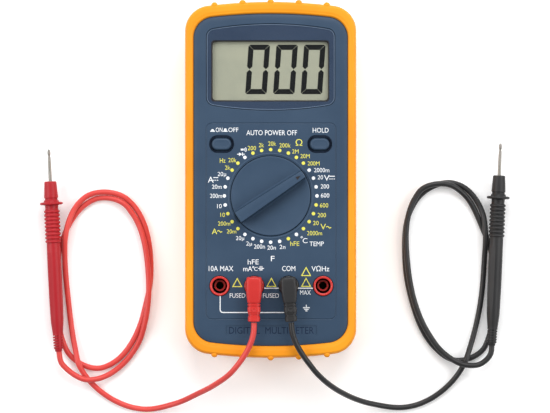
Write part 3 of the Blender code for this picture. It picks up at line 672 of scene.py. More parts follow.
def offset(shape, inset, z=None):
    """The outline of (half width, half length, corner, end radius), moved in by inset."""
    half_w, half_l, corner, end_radius = shape
    points = outline(half_w - inset, half_l - inset, max(corner - inset, 0.4), end_radius - inset)
    return points if z is None else [(x, y, z) for x, y in points]


HOLSTER = (45.3, 94.2, 13.5, END_RADIUS)
MOUTH = (40.8, 87.8, 11.0, END_RADIUS)
CASE = (42.9, 91.5, 11.2, END_RADIUS)
PANEL = (40.5, 87.5, 10.7, END_RADIUS)


def arc(inset, z, radius, start, end, steps):
    """Points of a quarter round about (inset, z), as (inset, height)."""
    turns = [math.radians(start + (end - start) * k / steps) for k in range(steps + 1)]
    return [(inset - radius * math.cos(t), z + radius * math.sin(t)) for t in turns]


def build_holster():
    rings = []
    for inset, z in arc(1.4, 1.4, 1.4, -90, 0, 5):
        rings.append(offset(HOLSTER, inset, z))
    rings.append(offset(HOLSTER, 0.0, 15.0))
    for k in range(9):
        turn = math.pi / 2 * k / 8
        rings.append(offset(HOLSTER, 1.9 * (1 - math.cos(turn)), 27.6 + 3.9 * math.sin(turn)))
    lip = [
        (-2.5, 31.5), (-1.95, 31.4), (-1.6, 31.24), (-1.4, 31.18), (-1.2, 31.2), (-0.9, 31.16),
        (-0.6, 31.0), (-0.32, 30.75), (-0.12, 30.4), (-0.02, 30.1), (0.0, 29.8), (0.0, 29.2),
        (-0.4, 28.7),
    ]
    for inset, z in lip:
        rings.append(offset(MOUTH, inset, z))
    rings.append(offset(CAVITY, 0.0, 28.7))
    rings.append(offset(CAVITY, 0.0, 3.6))
    rings.append(offset(CAVITY, 0.6, 3.0))
    window = (23.4, 40.6, 2.0, 4000.0)
    for inset, z in ((0.0, 3.0), (0.0, 0.5), (-0.5, 0.0)):
        rings.append([(x, y + 1.7, z) for x, y, _ in offset(window, inset, z)])
    holster = loft("holster_rubber", rings, closed=True)
    holster = combine(holster, pin_rod("pin_hole", 1.2, 26.0))
    scoops = []
    for side in (1, -1):
        scoop = soft_slab("scoop", inset_rect(3.0, 100.0, 1.3, tighten=0), -4, 4, 1.2)
        turn = Matrix.Rotation(side * math.radians(-24), 4, "Y")
        scoops.append(transformed(scoop, place(side * 46.2, -6.0, 31.0) @ turn))
    holster = combine(holster, joined("scoops", scoops))
    ribs = [holster]
    for side in (1, -1):
        for k in range(-2, 3):
            x = k * RIB_PITCH
            y = side * (94.2 - x * x / (2 * END_RADIUS) - 0.5)
            ribs.append(lathe("rib", capsule(1.75, 4.0, 31.3), 28, (x, y)))
    shell = joined("holster_shell", ribs)
    finished(shell, ORANGE, "meter", 40, ["holster"])


def capsule(radius, low, high):
    ends = [math.pi / 2 * k / 6 for k in range(7)]
    lower = [(radius * math.sin(t), low + radius * (1 - math.cos(t))) for t in ends]
    upper = [(radius * math.cos(t), high - radius * (1 - math.sin(t))) for t in ends]
    return [(0, low), *lower[1:], *upper[:-1], (0, high)]


def pin_rod(name, radius, half):
    rod_along = rod(name, radius, -half, half, (0, 0), 28)
    return transformed(rod_along, place(0, *STAND_HINGE) @ Matrix.Rotation(math.pi / 2, 4, "Y"))


def build_stand():
    plate = inset_rect(46, 79.1, 2.2, 6, (0, 1.55), tighten=0)
    stand = soft_slab("stand", plate, 0.45, 2.65, 0.5, 3, lower=True)

    def opening(inset):
        return moved(round_rect(27 + 2 * inset, 50 + 2 * inset, 6 + inset, 8), 0, 1)

    slot = soft_slab("slot", opening, -1, 4, 0.4)
    stand = combine(stand, slot)
    stand = combine(stand, pin_rod("pin", 0.95, 25.2), "UNION")
    grips = [box(f"grip_{k}", (16.0, 1.0, 0.6), (0, -30.5 - 2.2 * k, 0.45)) for k in range(3)]
    stand = combine(stand, joined("grips", grips))
    return finished(stand, ORANGE, "tilt_stand", 40, ["tilt_stand"])


# ---------------------------------------------------------------- case


BUTTON_AT = (25.9, 18.8)
LENS = (33.8, 22.7, 4.2, 182.0)
LENS_Y = 59.5
LCD_AT = (-0.2, 57.5)


def lens_shape(inset):
    return moved(offset(LENS, inset), 0, LENS_Y)


def ring_band(name, shape, width, low, high, steps=5):
    """A raised half-round line that follows shape(inset)."""
    rings = []
    for k in range(steps + 1):
        turn = math.pi * k / steps
        inset = -width / 2 * math.cos(turn)
        z = low + (high - low) * math.sin(turn)
        rings.append([(x, y, z) for x, y in shape(inset)])
    rings.append([(x, y, low - 0.3) for x, y in shape(width / 2)])
    rings.append([(x, y, low - 0.3) for x, y in shape(-width / 2)])
    return loft(name, rings, closed=True)


def groove(name, shape, width, depth, surface):
    """A cutter for a round-bottomed groove that follows shape(inset)."""
    rings = []
    for k in range(7):
        turn = math.pi * k / 6
        inset = -width / 2 * math.cos(turn)
        rings.append([(x, y, surface - depth * math.sin(turn)) for x, y in shape(inset)])
    rings.append([(x, y, surface + 0.6) for x, y in shape(width / 2)])
    rings.append([(x, y, surface + 0.6) for x, y in shape(-width / 2)])
    return loft(name, rings, closed=True)


def build_front_case():
    rings = [offset(CASE, 0.3, 17.3), offset(CASE, 0.0, 17.6), offset(CASE, 0.0, 28.0)]
    rings += [offset(CASE, 0.3, 28.3), offset(PANEL, -0.22, 28.35), offset(PANEL, -0.22, 29.65)]
    for k in range(1, 10):
        turn = math.pi / 2 * k / 9
        inset = 3.4 * (1 - math.cos(turn)) - 0.22
        rings.append(offset(PANEL, inset, 29.65 + 0.65 * math.sin(turn)))
    rings.append(offset(PANEL, 3.9, 30.3))
    case = loft("front_moulding", rings)
    case = combine(case, slab("room", outline(40.9, 89.5, 9.5), 10, 26.2))
    case = combine(case, slab("upper_room", outline(38.4, 85.4, 8.5), 25, 28.0))
    posts = corner_rods("post", 3.6, 17.3, 28.4)
    posts.append(rod("detent_ring", 20.0, 25.4, 28.4, (0, DIAL_Y), 96))
    case = combine(case, joined("posts", posts), "UNION")
    holes = [rod("jack_hole", 5.5, 25, 34, (x, JACK_Y), 64) for _, x in JACKS]
    for side in (-1, 1):
        at = (side * BUTTON_AT[0], BUTTON_AT[1])
        holes.append(slab("button_hole", moved(round_rect(11.2, 7.2, 3.3, 10), *at), 26, 29.5))
    holes += corner_rods("pilot", 1.65, 10, 26)
    case = combine(case, joined("holes", holes))
    wells = []
    for side in (-1, 1):
        at = (side * BUTTON_AT[0], BUTTON_AT[1])
        wells.append(bowl("well", inset_rect(13.0, 9.4, 4.4, 12, at), 29.2))
    control = inset_rect(68.4, 103.4, 3.0, at=(0.2, -21.9))
    wells.append(bowl("lens_bed", lambda i: lens_shape(i - 0.25), 28.7))
    wells.append(slab("dial_bed", circle(21.4, (0, DIAL_Y)), 28.8, 34))
    wells.append(groove("panel_groove", control, 0.75, 0.32, FACE))
    wells.append(slab("plate_bed", moved(round_rect(48.0, 5.0, 0.8, 5), *PLATE_AT), 29.95, 34))
    case = combine(case, joined("wells", wells))
    case = combine(case, slab("lcd_hole", moved(round_rect(*LCD_HOLE), *LCD_AT), 24, 32))
    case = combine(case, slab("drum_hole", circle(17.95, (0, DIAL_Y), 32), 24, 32))
    case = finished(case, BLUE, "meter", 32, ["front_case"])
    # The ring bead uses the slightly paler knob plastic: a faint painted highlight on the raised
    # ring.
    bead = ring_band("dial_ring", lambda i: circle(22.3 - i, (0, DIAL_Y)), 0.9, FACE, FACE + 0.25)
    finished(bead, BLUE_KNOB, "meter", 50)
    return case


def bowl(name, shape, floor):
    """A cutter for a sunk bed whose rim is slightly rounded."""
    rings = [[(x, y, floor) for x, y in shape(0.0)]]
    for k in range(5):
        turn = math.pi / 2 * k / 4
        rim = 0.3 * (1 - math.cos(turn))
        rings.append([(x, y, FACE - 0.3 + 0.3 * math.sin(turn)) for x, y in shape(-rim)])
    rings.append([(x, y, 34.0) for x, y in shape(-0.3)])
    return loft(name, rings)


def build_rear_case():
    rings = []
    for inset, z in arc(1.2, 4.5, 1.2, -90, 0, 4):
        rings.append(offset(CASE, inset, z))
    rings += [offset(CASE, 0.0, 16.6), offset(CASE, 0.3, 17.0)]
    case = loft("rear_moulding", rings)
    case = combine(case, slab("room", outline(40.9, 89.5, 9.5), 5.3, 22))
    posts = corner_rods("post", 3.6, 4.2, 17.0)
    posts.append(box("door_foot", (5.0, 9.0, 8.0), (34.8, 14.0, 8.6)))
    case = combine(case, joined("posts", posts), "UNION")
    case = combine(case, box("door_arm", (7.3, 9.0, 5.8), (29.8, 14.0, 9.4)), "UNION")
    case = combine(case, slab("door_hole", moved(round_rect(65.0, 31.0, 1.5, 4), *DOOR_AT), 2, 5.5))
    holes = corner_rods("head_hole", 3.05, 2, 6.4)
    holes.append(rod("door_pilot", 1.35, 5, 11.5, DOOR_SCREW_AT, 24))
    case = combine(case, joined("head_holes", holes))
    case = combine(case, joined("shanks", corner_rods("shank", 1.75, 5, 22, 24)))
    return finished(case, BLUE, "meter", 32, ["rear_case"])


def build_battery_cover():
    plate = inset_rect(64.4, 30.4, 1.4, 5, DOOR_AT, tighten=0)
    cover = soft_slab("battery_door", plate, 3.3, 5.3, 0.3, 3, lower=True)
    cover = combine(cover, rod("hole", 1.4, 2, 7, DOOR_SCREW_AT, 32))
    cover = combine(cover, rod("head", 2.8, 2, 4.55, DOOR_SCREW_AT, 40))
    grips = [box(f"grip_{k}", (1.0, 16.0, 0.8), (-19.5 - 2.4 * k, 14.0, 3.3)) for k in range(5)]
    cover = combine(cover, joined("grips", grips))
    return finished(cover, BLUE, "meter", 32, ["battery_cover"])


# ---------------------------------------------------------------- display


def digit_zero(at, height, width, thick, slant):
    """The six lit bars of a zero, with hairline gaps at the mitred corners."""
    gap, cut = 0.11, 0.36
    half_w, half_h = (width - thick) / 2, (height - thick) / 2
    bars = []
    for y in (half_h, -half_h):
        sign = 1 if y > 0 else -1
        outer, inner = y + sign * thick / 2, y - sign * thick / 2
        a = half_w + thick / 2 - 1.2 * gap
        b = half_w - thick / 2 - gap
        bar = [(-a + 2 * cut, outer), (a - 2 * cut, outer), (a - cut, outer - sign * cut)]
        bars.append([*bar, (b, inner), (-b, inner), (-a + cut, outer - sign * cut)])
    for sx in (1, -1):
        for sy in (1, -1):
            outer, inner, middle = sx * (half_w + thick / 2), sx * (half_w - thick / 2), sx * half_w
            top = sy * (half_h + thick / 2 - 1.4 * gap)
            low = sy * (half_h - thick / 2 - 0.2 * gap)
            near = sy * (thick / 2 + 0.1)
            corner = [(outer, top - 2 * sy * cut), (outer - sx * cut, top - sy * cut)]
            bars.append([*corner, (inner, low), (inner, near), (middle, sy * gap), (outer, near)])
    return [[(x + y * slant + at[0], y + at[1]) for x, y in bar] for bar in bars]


def build_display():
    frame_hole = moved(round_rect(*LCD_HOLE), *LCD_AT)
    border = soft_slab("lens_border", lens_shape, 29.0, 29.9, 0.1, 2)
    border = combine(border, slab("hole", frame_hole, 28, 32))
    finished(border, BLUE_LENS, "meter", 32, ["display_window"])
    pane = soft_slab("lens_pane", lens_shape, 30.05, 30.15, 0.05, 2)
    finished(pane, CLEAR, "meter", 32, ["display_window"])
    # The rim bead is drawn in a lighter blue: a painted highlight on the lens edge.
    edge = ring_band("lens_rim", lambda i: lens_shape(0.3 + i), 0.34, 30.12, 30.24)
    finished(edge, BLUE_RIM_HIGHLIGHT, "meter", 50)
    # A dark ring round the LCD opening: painted shade along the opening's wall.
    around = inset_rect(62.3, 32.3, 1.9, 6, LCD_AT, tighten=0)
    shade_ring = ring_band("lcd_gasket", around, 1.3, 29.3, 29.7)
    finished(shade_ring, DARK, "meter", 50)
    glass = inset_rect(64.6, 34.6, 0.6, 4, LCD_AT, tighten=0)
    panel = soft_slab("lcd", glass, 25.65, 27.55, 0.15, 2)
    finished(panel, LCD, "meter", 32, ["lcd_panel"])
    bars = []
    for u in (257.15, 285.0, 312.65):
        centre = face_point(u, 69.45, 27.55)
        for bar in digit_zero(centre, 26.2, 11.35, 2.75, math.tan(math.radians(4.0))):
            bars.append(slab("bar", bar, 27.56, 27.6))
    finished(joined("digits", bars), INK_BLACK, "meter", 30)


# ---------------------------------------------------------------- dial and buttons


def build_dial():
    profile = [
        (0, 30.3), (8, 30.25), (14, 30.3), (18, 30.45), (20.0, 30.75), (20.6, 30.8), (20.85, 30.7),
        (21.0, 30.4), (21.0, 29.4), (20.8, 29.2), (17.4, 29.2), (17.4, 24.8), (0, 24.8),
    ]
    disc = lathe("dial_disc", profile, 128)
    rings = []
    stations = 30
    for k in range(stations + 1):
        # The bar runs right across the disc, and its ends drop almost upright.
        t = 2 * k / stations - 1
        x = 20.75 * math.copysign(1 - (1 - abs(t)) ** 1.7, t)
        s = (x + 20.75) / 41.5
        crest = 2.95 - 1.1 * s
        end = min(1.0, (20.75 - abs(x)) / 0.9)
        drop = 1 - math.sqrt(max(0.0, 1 - (1 - end) ** 2))
        top = 37.4 - 1.0 * drop
        crest *= 1 - 0.12 * drop
        half = [(crest + 1.5, 30.2), (crest + 0.75, 30.7), (crest + 0.4, 31.8), (crest + 0.2, 35.0)]
        half += [(crest + 0.12, top - 0.4), (crest - 0.02, top - 0.12), (crest - 0.3, top)]
        half.append((0.0, top + 0.02))
        ring = [(x, y, z) for y, z in half]
        ring += [(x, -y, z) for y, z in reversed(half[:-1])]
        rings.append([*ring, (x, 0.0, 29.8)])
    bar = loft("dial_bar", rings)
    dial = joined("range_knob", [disc, bar])
    turn = place(0, DIAL_Y, 0) @ Matrix.Rotation(POINTER, 4, "Z")
    transformed(dial, turn)
    finished(dial, BLUE_KNOB, "function_dial", 28, ["function_dial"])
    arrow = slab("knob_arrow", [(18.9, 0), (16.3, 0.95), (16.3, -0.95)], 37.38, 37.46)
    transformed(arrow, turn)
    finished(arrow, DARK, "function_dial")


def build_buttons():
    for name, side in (("power", -1), ("hold", 1)):
        at = (side * BUTTON_AT[0], BUTTON_AT[1])
        edge = inset_rect(11.9, 8.15, 3.85, 12, at)
        # A dark ring round each cap on the well floor: painted shade in the well.
        well = ring_band(f"{name}_well_shade", edge, 0.75, 29.22, 29.38)
        finished(well, NAVY_SHADE, "meter", 50)
        cap_shape = inset_rect(10.6, 6.6, 3.25, 12, at)
        levels = [(-1.0, 27.0), (-1.0, 27.7), (0.0, 27.7), (0.0, 29.3)]
        for k in range(7):
            t = math.pi / 2 * k / 6
            levels.append((0.3 + 0.8 * (1 - math.cos(t)), 31.1 + 0.8 * math.sin(t)))
        levels += [(1.6, 31.84), (2.3, 31.74)]
        cap = loft(f"{name}_cap", [[(x, y, z) for x, y in cap_shape(i)] for i, z in levels])
        cap = combine(cap, slab("hollow", moved(round_rect(7.6, 4.0, 1.9, 8), *at), 25, 30.7))
        cap = combine(cap, rod("stem", 0.9, 26.0, 31.0, at, 32), "UNION")
        finished(cap, BLUE_KNOB, f"{name}_button", 32, [f"{name}_button"])


# ---------------------------------------------------------------- jacks, plugs, probes


def build_jacks():
    ring = [
        (3.95, 24.0), (3.95, 30.7), (4.1, 30.95), (4.4, 31.1), (4.85, 31.1), (5.08, 30.95),
        (5.2, 30.6), (5.2, 25.3), (6.8, 25.3), (6.8, 24.1), (5.2, 24.1), (5.2, 12.6), (0, 12.6),
    ]
    sleeve = [
        (0, 13.8), (2.6, 13.8), (2.6, 24.6), (2.1, 25.2), (2.05, 25.8), (2.2, 26.0), (2.9, 26.0),
        (3.1, 25.8), (3.1, 14.0),
    ]
    for name, x in JACKS:
        com = name == "com"
        shell = lathe(f"jack_{name}_shell", [*sleeve, (4.1, 14.0), *ring], 64, (x, JACK_Y))
        finished(shell, JACK_BLACK if com else JACK_RED, "meter", 32, [f"jack_{name}"])
        # A thin dark sheet on the jack's inner wall: painted shade inside the hole.
        wall = [
            (3.95, 29.6), (3.9, 29.6), (3.9, 14.4), (3.15, 14.4), (3.15, 14.1), (3.95, 14.1),
            (3.95, 29.6),
        ]
        shade_wall = lathe(f"jack_{name}_liner", wall, 64, (x, JACK_Y))
        finished(shade_wall, DARK, "meter", 32)


def box_section(half_w, half_h, power, y, z, steps):
    """A rounded-rectangle section at distance y along the plug, centred on height z."""
    ring = []
    for k in range(steps):
        turn = 2 * math.pi * k / steps
        c, s = math.cos(turn), math.sin(turn)
        px = half_w * math.copysign(abs(c) ** (2 / power), c)
        pz = half_h * math.copysign(abs(s) ** (2 / power), s)
        ring.append((px, y, z + pz))
    return ring


def build_plug(colour, jack_x, turn, material):
    # (distance from the jack centre, half width, half height, squareness)
    sections = [
        (4.95, 2.9, 2.9, 4.0), (4.85, 3.5, 3.4, 4.5), (4.5, 3.85, 3.75, 5.0),
        (3.9, 3.98, 3.95, 5.5), (2.2, 4.05, 4.05, 6.0), (-1.6, 4.15, 4.1, 6.0),
        (-4.5, 3.98, 4.0, 5.5), (-7.2, 3.6, 3.85, 5.0), (-8.3, 3.45, 3.6, 4.5),
        (-8.5, 3.05, 3.0, 3.6), (-9.1, 3.05, 3.0, 3.6), (-9.25, 3.4, 3.4, 4.0),
        (-9.8, 3.4, 3.4, 4.0), (-9.95, 3.0, 3.0, 3.6), (-10.5, 3.0, 3.0, 3.6),
        (-10.65, 3.4, 3.35, 4.0), (-13.3, 3.4, 3.3, 4.0), (-13.6, 3.2, 3.1, 3.6),
        (-14.5, 3.15, 3.05, 3.6), (-14.65, 2.85, 2.8, 3.2), (-15.6, 2.85, 2.8, 3.2),
        (-15.75, 3.2, 3.1, 3.6), (-17.9, 3.15, 3.0, 3.4), (-18.3, 2.9, 2.7, 3.0),
        (-18.4, 2.4, 2.3, 2.6),
    ]
    boot = loft(f"{colour}_boot", [box_section(w, h, p, y, PLUG_Z, 64) for y, w, h, p in sections])
    stem = [
        (0, 36.4), (4.2, 36.4), (4.5, 35.6), (4.75, 33.9), (4.8, 33.4), (4.8, 31.9), (4.7, 31.6),
        (3.85, 31.6), (3.85, 16.3), (3.75, 16.0), (3.5, 16.0), (3.45, 16.2), (3.45, 31.0),
        (0, 31.0),
    ]
    base = lathe(f"{colour}_base", stem, 64)
    stud = [(0, 40.1), (0.75, 40.1), (1.0, 40.2), (1.15, 40.1), (1.2, 39.8), (1.2, 38.5), (0, 38.5)]
    mark = lathe(f"{colour}_mark", stud, 32, (0, -12.0))
    for obj in (boot, base, mark):
        transformed(obj, place(jack_x, JACK_Y, 0) @ Matrix.Rotation(math.radians(turn), 4, "Z"))
    housing = joined(f"{colour}_plug_body", [boot, mark])
    finished(housing, material, f"{colour}_lead", 34, [f"{colour}_plug_housing"])
    base.name = f"{colour}_plug_base"
    deep = RED_DEEP if colour == "red" else DARK
    finished(base, deep, f"{colour}_lead", 34, [f"{colour}_plug_housing"])
    pin = [(0, 35.0), (1.95, 35.0), (1.95, 17.6), (1.85, 17.0), (1.5, 16.4), (1.2, 16.2), (0, 16.2)]
    pin = lathe(f"{colour}_pin", pin, 40, (jack_x, JACK_Y))
    finished(pin, NICKEL, f"{colour}_lead", 34, [f"{colour}_plug_pin"])


def handle_profile():
    points = [
        (0, 17.4), (2.8, 17.4), (3.15, 17.55), (3.3, 18.0), (3.78, 25.8), (3.7, 26.3), (3.4, 26.6),
        (3.4, 27.4), (3.95, 27.7), (4.05, 28.2), (4.2, 28.6), (5.6, 28.7), (6.05, 28.95),
        (6.2, 29.4), (6.05, 29.85), (5.6, 30.1), (4.0, 30.2), (3.55, 30.5), (3.5, 32.4),
    ]
    for k in range(9):
        start = 32.9 + 2.03 * k
        rib = ((3.6, 0), (4.1, 0.25), (4.26, 0.6), (4.26, 1.0), (4.1, 1.35), (3.62, 1.6))
        points += [(r, start + s) for r, s in rib]
    points += [
        (3.6, 51.6), (3.68, 52.6), (3.76, 64.0), (3.72, 80.0), (3.5, 92.0), (3.32, 94.6),
        (2.85, 99.0), (2.78, 99.6), (2.52, 107.6), (2.4, 108.1), (1.95, 108.4), (1.85, 109.5),
        (1.75, 109.65), (1.58, 109.65),
    ]
    return points + [(1.58, 108.5), (0, 108.5)]


def slot_shape(inner, outer, start, end):
    """Part of a flat ring between two angles in degrees."""
    turns = [math.radians(start + (end - start) * k / 20) for k in range(21)]
    points = [(outer * math.cos(t), outer * math.sin(t)) for t in turns]
    return points + [(inner * math.cos(t), inner * math.sin(t)) for t in reversed(turns)]


def build_probe(colour, tail, tilt, material):
    lay = Matrix.Rotation(math.radians(tilt), 4, "Z") @ Matrix.Rotation(-math.pi / 2, 4, "X")
    spot = Vector((tail[0] * MM, tail[1] * MM, PROBE_Z * MM))
    turn = Matrix.Translation(spot + lay.to_3x3() @ Vector((0, 0, PROBE_LENGTH * MM))) @ lay
    handle = lathe(f"{colour}_handle", [(r, -s) for r, s in handle_profile()], 64)
    handle = combine(handle, rod("bore", 1.3, -30.0, -10.0, (0, 0), 32))
    cuts = []
    for k in range(5):
        low = -100.9 - 1.45 * k
        cuts.append(slab("slot", slot_shape(1.75, 4.0, 110, 285), low - 0.6, low))
        cuts.append(slab("slot", slot_shape(1.75, 4.0, -40, 50), low - 0.6, low))
    flat = box("flat", (9.0, 2.0, 40.0), (0.0, -4.52, -76.0))
    cuts.append(transformed(flat, Matrix.Rotation(math.radians(-32), 4, "Z")))
    handle = combine(handle, joined("cuts", cuts))
    transformed(handle, turn)
    lead = f"{colour}_lead"
    finished(handle, material, lead, 34, [f"{colour}_probe_handle"])
    tip = [
        (0, 0), (0.35, -0.1), (0.6, -0.5), (0.82, -1.3), (0.85, -2.2), (0.8, -2.9), (0.62, -3.4),
        (0.62, -3.9), (0.8, -4.6), (0.88, -9.0), (0.9, -17.0), (1.0, -17.6), (1.0, -29.0),
        (0, -29.0),
    ]
    point = transformed(lathe(f"{colour}_tip", tip, 32), turn)
    finished(point, NICKEL, lead, 34, [f"{colour}_probe_tip"])


# ---------------------------------------------------------------- printed legends


def text_mesh(body, at, height, width, z=FACE):
    """Flat lettering centred on at, with capitals of this height and the line this wide, in mm."""
    curve = bpy.data.curves.new("legend", "FONT")
    curve.body = body
    curve.size = height / 0.72 * MM
    curve.extrude = 0.02 * MM
    curve.resolution_u = 4
    obj = bpy.data.objects.new("legend", curve)
    bpy.context.scene.collection.objects.link(obj)
    obj = frozen(obj)
    xs = [v.co.x for v in obj.data.vertices]
    middle = (min(xs) + max(xs)) / 2
    shift = Matrix.Translation((-middle, -height * MM / 2, 0))
    stretch = width * MM / (max(xs) - min(xs))
    size = Matrix.Diagonal((stretch, 1, 1, 1))
    obj.data.transform(place(at[0], at[1], z + 0.03) @ size @ shift)
    return obj


def dial_dots():
    yellow, white = [], []
    tones = "YYYYYWWWWYYYYWYWWWWWYYYWWWWYYWYY"
    for k, tone in enumerate(tones):
        turn = math.radians(90 - 11.25 * k)
        at = (24.45 * math.cos(turn), DIAL_Y + 24.45 * math.sin(turn))
        dot = rod("dot", 0.92, FACE, PRINT_TOP, at, 32)
        (yellow if tone == "Y" else white).append(dot)
    return yellow, white


def ribbon(points, width, closed=False):
    """A printed line through points, with mitred corners."""
    path = [Vector(p) for p in points]
    sides = []
    for k, here in enumerate(path):
        before = path[k - 1] if k or closed else here
        after = path[(k + 1) % len(path)] if k < len(path) - 1 or closed else here
        step_in, step_out = here - before, after - here
        ahead = step_out.normalized() if step_out.length else step_in.normalized()
        behind = step_in.normalized() if step_in.length else ahead
        across = Vector((-(ahead + behind).y, (ahead + behind).x)).normalized()
        reach = width / 2 / max(0.4, across.dot(Vector((-ahead.y, ahead.x))))
        sides.append((here + across * reach, here - across * reach))
    body = bmesh.new()
    rows = []
    for left, right in sides:
        corners = ((left, PRINT_LOW), (right, PRINT_LOW), (right, PRINT_TOP), (left, PRINT_TOP))
        rows.append([body.verts.new((p.x * MM, p.y * MM, h * MM)) for p, h in corners])
    if not closed:
        body.faces.new(rows[0])
        body.faces.new(rows[-1])
    skin(body, rows, closed)
    return built("stroke", body)


def wave(at, width, height, stroke):
    points = []
    for k in range(17):
        x = width * (k / 16 - 0.5)
        points.append((at[0] + x, at[1] + height / 2 * math.sin(2 * math.pi * k / 16)))
    return [ribbon(points, stroke)]


def dash(at, width, stroke):
    return ribbon([(at[0] - width / 2, at[1]), (at[0] + width / 2, at[1])], stroke)


def direct_mark(at, width, gap, stroke):
    """A solid line over three short ones."""
    pieces = [dash((at[0], at[1] + gap / 2), width, stroke)]
    third = width / 2.6
    for k in (-1, 0, 1):
        pieces.append(dash((at[0] + k * third, at[1] - gap / 2), third * 0.6, stroke))
    return pieces


def triangle_mark(at, width, height, stroke):
    half = width / 2 - stroke
    corners = [(0, height * 0.62 - stroke), (-half, -height * 0.38), (half, -height * 0.38)]
    return ribbon([(at[0] + x, at[1] + y) for x, y in corners], stroke, closed=True)


def earth_mark(at):
    pieces = [ribbon([(at[0], at[1] + 1.5), (at[0], at[1])], 0.5)]
    for k, width in enumerate((3.6, 2.4, 1.2)):
        pieces.append(dash((at[0], at[1] - 0.05 - 0.85 * k), width, 0.5))
    return pieces


def buzzer_mark(at):
    """A bar and two arcs, beside a diode."""
    pieces = [dash(at, 1.5, 0.9)]
    for k in (1, 2):
        points = []
        radius = 0.75 * k
        for i in range(9):
            turn = math.radians(-50 + 100 * i / 8)
            x = at[0] + 0.7 + radius * math.cos(turn)
            points.append((x, at[1] + radius * math.sin(turn)))
        pieces.append(ribbon(points, 0.35))
    return pieces


def diode_mark(at):
    nose = [(at[0] - 0.9, at[1] + 0.95), (at[0] - 0.9, at[1] - 0.95), (at[0] + 0.7, at[1])]
    pieces = [slab("nose", nose, PRINT_LOW, PRINT_TOP)]
    pieces.append(ribbon([(at[0] + 0.95, at[1] + 0.95), (at[0] + 0.95, at[1] - 0.95)], 0.4))
    pieces.append(dash((at[0] - 1.4, at[1]), 0.9, 0.4))
    pieces.append(dash((at[0] + 1.6, at[1]), 0.9, 0.4))
    return pieces


def capacitor_mark(at):
    pieces = [dash((at[0] - 1.1, at[1]), 0.9, 0.4), dash((at[0] + 1.1, at[1]), 0.9, 0.4)]
    for side in (-1, 1):
        x = at[0] + side * 0.45
        pieces.append(ribbon([(x, at[1] + 1.2), (x, at[1] - 1.2)], 0.4))
    return pieces


def key_mark(at, pressed):
    """A small push-button sign: a cap over a line."""
    pieces = [dash((at[0], at[1] - 0.7), 2.4, 0.5)]
    top = 0.35 if pressed else 0.75
    cap = [(at[0] - 0.75, at[1] - 0.4), (at[0] + 0.75, at[1] - 0.4)]
    cap += [(at[0] + 0.5, at[1] + top), (at[0] - 0.5, at[1] + top)]
    pieces.append(slab("cap", cap, PRINT_LOW, PRINT_TOP))
    return pieces


# Legends: ink, place in the 550 by 413 view, height and width there, text.
LEGENDS = """
Y 251.7 148.0 4.4 8.3 200
Y 261.2 145.0 4.4 5.2 2k
Y 272.0 143.5 4.4 8.0 20k
Y 284.8 145.3 4.4 11.2 200k
Y 295.2 151.3 4.3 6.4 2M
Y 304.9 156.0 4.3 9.3 20M
Y 313.5 163.3 4.3 12.0 200M
W 321.6 170.0 4.4 15.2 2000m
W 320.3 177.2 4.3 5.5 20
W 324.8 186.3 4.4 8.4 200
W 325.1 195.3 4.4 8.5 600
Y 324.1 205.2 4.4 8.3 600
Y 321.9 215.0 4.4 8.3 200
Y 316.0 222.9 4.3 5.5 20
Y 314.7 233.0 4.4 15.0 2000m
Y 295.0 243.5 4.6 9.0 hFE
W 282.7 246.8 4.3 5.8 2n
W 271.8 247.5 4.3 8.5 20n
W 259.7 246.4 4.4 11.0 200n
W 249.3 243.4 4.2 5.7 2\u03bc
W 240.2 238.0 4.2 8.2 20\u03bc
Y 231.6 231.3 4.3 9.4 20m
Y 224.2 223.4 4.3 12.2 200m
Y 222.8 214.7 4.4 4.6 10
W 219.5 206.0 4.4 4.6 10
W 216.0 195.7 4.4 12.0 200m
W 216.8 186.6 4.4 9.6 20m
W 221.8 173.9 4.3 8.5 20\u03bc
Y 227.5 167.5 4.4 5.2 2k
Y 232.3 160.0 4.4 8.0 20k
Y 222.5 160.3 4.7 5.6 Hz
Y 298.8 142.5 6.4 6.7 \u03a9
W 210.7 179.5 6.2 5.7 A
W 326.7 177.7 5.8 5.6 V
Y 323.3 226.5 5.8 5.5 V
Y 214.7 231.2 5.8 5.2 A
W 305.3 240.5 5.0 4.8 C
W 316.9 243.7 4.8 14.2 TEMP
W 273.0 258.4 5.6 3.6 F
W 218.9 129.7 4.5 6.8 ON
W 233.1 129.7 4.5 10.0 OFF
W 271.5 132.6 5.2 50.6 AUTO POWER OFF
W 320.4 130.1 4.9 15.8 HOLD
W 221.3 268.4 5.3 24.6 10A MAX
W 253.5 261.8 5.2 11.0 hFE
W 248.0 268.6 5.2 9.0 mA
W 256.2 268.8 4.0 3.4 C
W 289.0 268.4 5.2 13.2 COM
W 320.7 268.6 5.2 17.8 V\u03a9Hz
W 237.9 295.4 4.6 15.6 FUSED
W 271.4 295.5 4.6 16.0 FUSED
W 305.8 292.4 4.6 10.8 MAX
"""


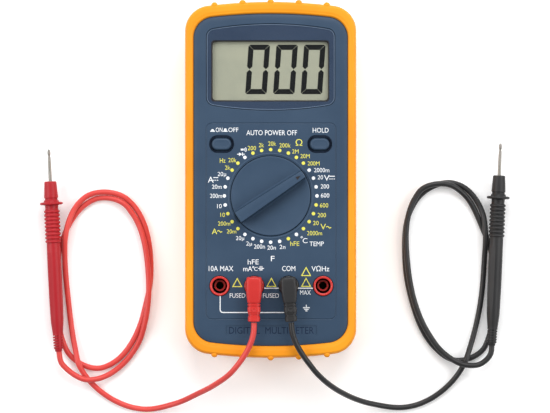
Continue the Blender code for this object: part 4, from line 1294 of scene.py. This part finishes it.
def build_legends():
    yellow, white = dial_dots()
    for line in LEGENDS.strip().splitlines():
        tone, *numbers, body = line.split(maxsplit=5)
        u, v, height, width = map(float, numbers)
        piece = text_mesh(body, face_point(u, v), height * LEGEND_PIXEL, width * LEGEND_PIXEL)
        (yellow if tone == "Y" else white).append(piece)
    white += direct_mark(face_point(215.7, 178.9), 2.6, 1.4, 0.42)
    white += direct_mark(face_point(332.0, 177.6), 2.9, 1.4, 0.42)
    yellow += wave(face_point(328.8, 227.2), 2.6, 0.9, 0.42)
    yellow += wave(face_point(219.9, 231.4), 2.5, 0.9, 0.42)
    for u, v in ((301.9, 237.2), (253.6, 267.2)):
        white.append(ribbon(circle(0.42, face_point(u, v), 16), 0.26, closed=True))
    white += buzzer_mark(face_point(242.0, 149.6))
    white += diode_mark(face_point(240.6, 154.2))
    white += capacitor_mark(face_point(261.3, 268.4))
    white += key_mark(face_point(212.3, 129.9), True)
    white += key_mark(face_point(225.1, 129.9), False)
    white += earth_mark(face_point(306.8, 307.6))
    for u, v in ((237.6, 283.2), (271.8, 283.0), (306.4, 283.0), (306.4, 272.2)):
        yellow.append(triangle_mark(face_point(u, v), 5.6, 4.7, 0.48))
    for a, b in (((264.6, 288.2), (279.0, 288.2)), ((298.5, 288.2), (313.4, 288.2))):
        white.append(ribbon([face_point(*a), face_point(*b)], 0.5))
    bend = [
        (220.6, 296.0), (220.6, 309.6), (221.0, 311.2), (221.9, 312.1), (223.4, 312.5),
        (285.0, 312.5),
    ]
    white.append(ribbon([face_point(*p) for p in bend], 0.5))
    finished(joined("print_yellow", yellow), INK_YELLOW, "meter", 30)
    finished(joined("print_white", white), INK_WHITE, "meter", 30)
    name = text_mesh("DIGITAL  MULTIMETER", PLATE_AT, 3.7, 44.8, 29.93)
    finished(name, INK_NAVY, "meter", 30)


# ---------------------------------------------------------------- inner pieces keep the CAD shapes


def dress_inner_pieces():
    looks = {}
    for material, names in (
        (DARK, "lcd_frame power_switch hold_switch"),
        (BLACK_PLASTIC, "battery_snap buzzer main_chip"),
        (ELASTOMER, "zebra_strip"),
        (RED_PLASTIC, "trimmer"),
        (RED_CORD, "battery_wire_red"),
        (BLACK_CORD, "battery_wire_black"),
        (BOARD, "main_board"),
        (JACKET, "battery_9v capacitor"),
        (CERAMIC, "fuse_10a fuse_200ma"),
    ):
        looks.update(dict.fromkeys(names.split(), material))
    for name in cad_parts:
        if name in looks:
            material = looks[name]
        elif name.startswith(("fuse_holder", "dial_contact", "shunt")):
            material = BRASS
        elif name.startswith("socket_"):
            # The jack sockets get the darkened brass: painted shade deep in the holes.
            material = SHADED_BRASS
        elif name.startswith("detent_") or "_screw" in name or name.endswith("_spring"):
            material = STEEL
        else:
            continue
        obj = bpy.data.objects[name]
        obj.data.materials.clear()
        obj.data.materials.append(material)


dress_inner_pieces()
build_holster()
build_stand()
build_rear_case()
build_front_case()
build_battery_cover()
build_display()
build_dial()
build_buttons()
build_jacks()
build_plug("red", JACKS[1][1], 0.0, RED_PLASTIC)
build_plug("black", JACKS[2][1], 4.0, BLACK_PLASTIC)
build_probe("red", (-115.0, -91.4), 2.8, RED_HANDLE)
build_probe("black", (119.8, -88.2), -2.5, BLACK_PLASTIC)
build_legends()
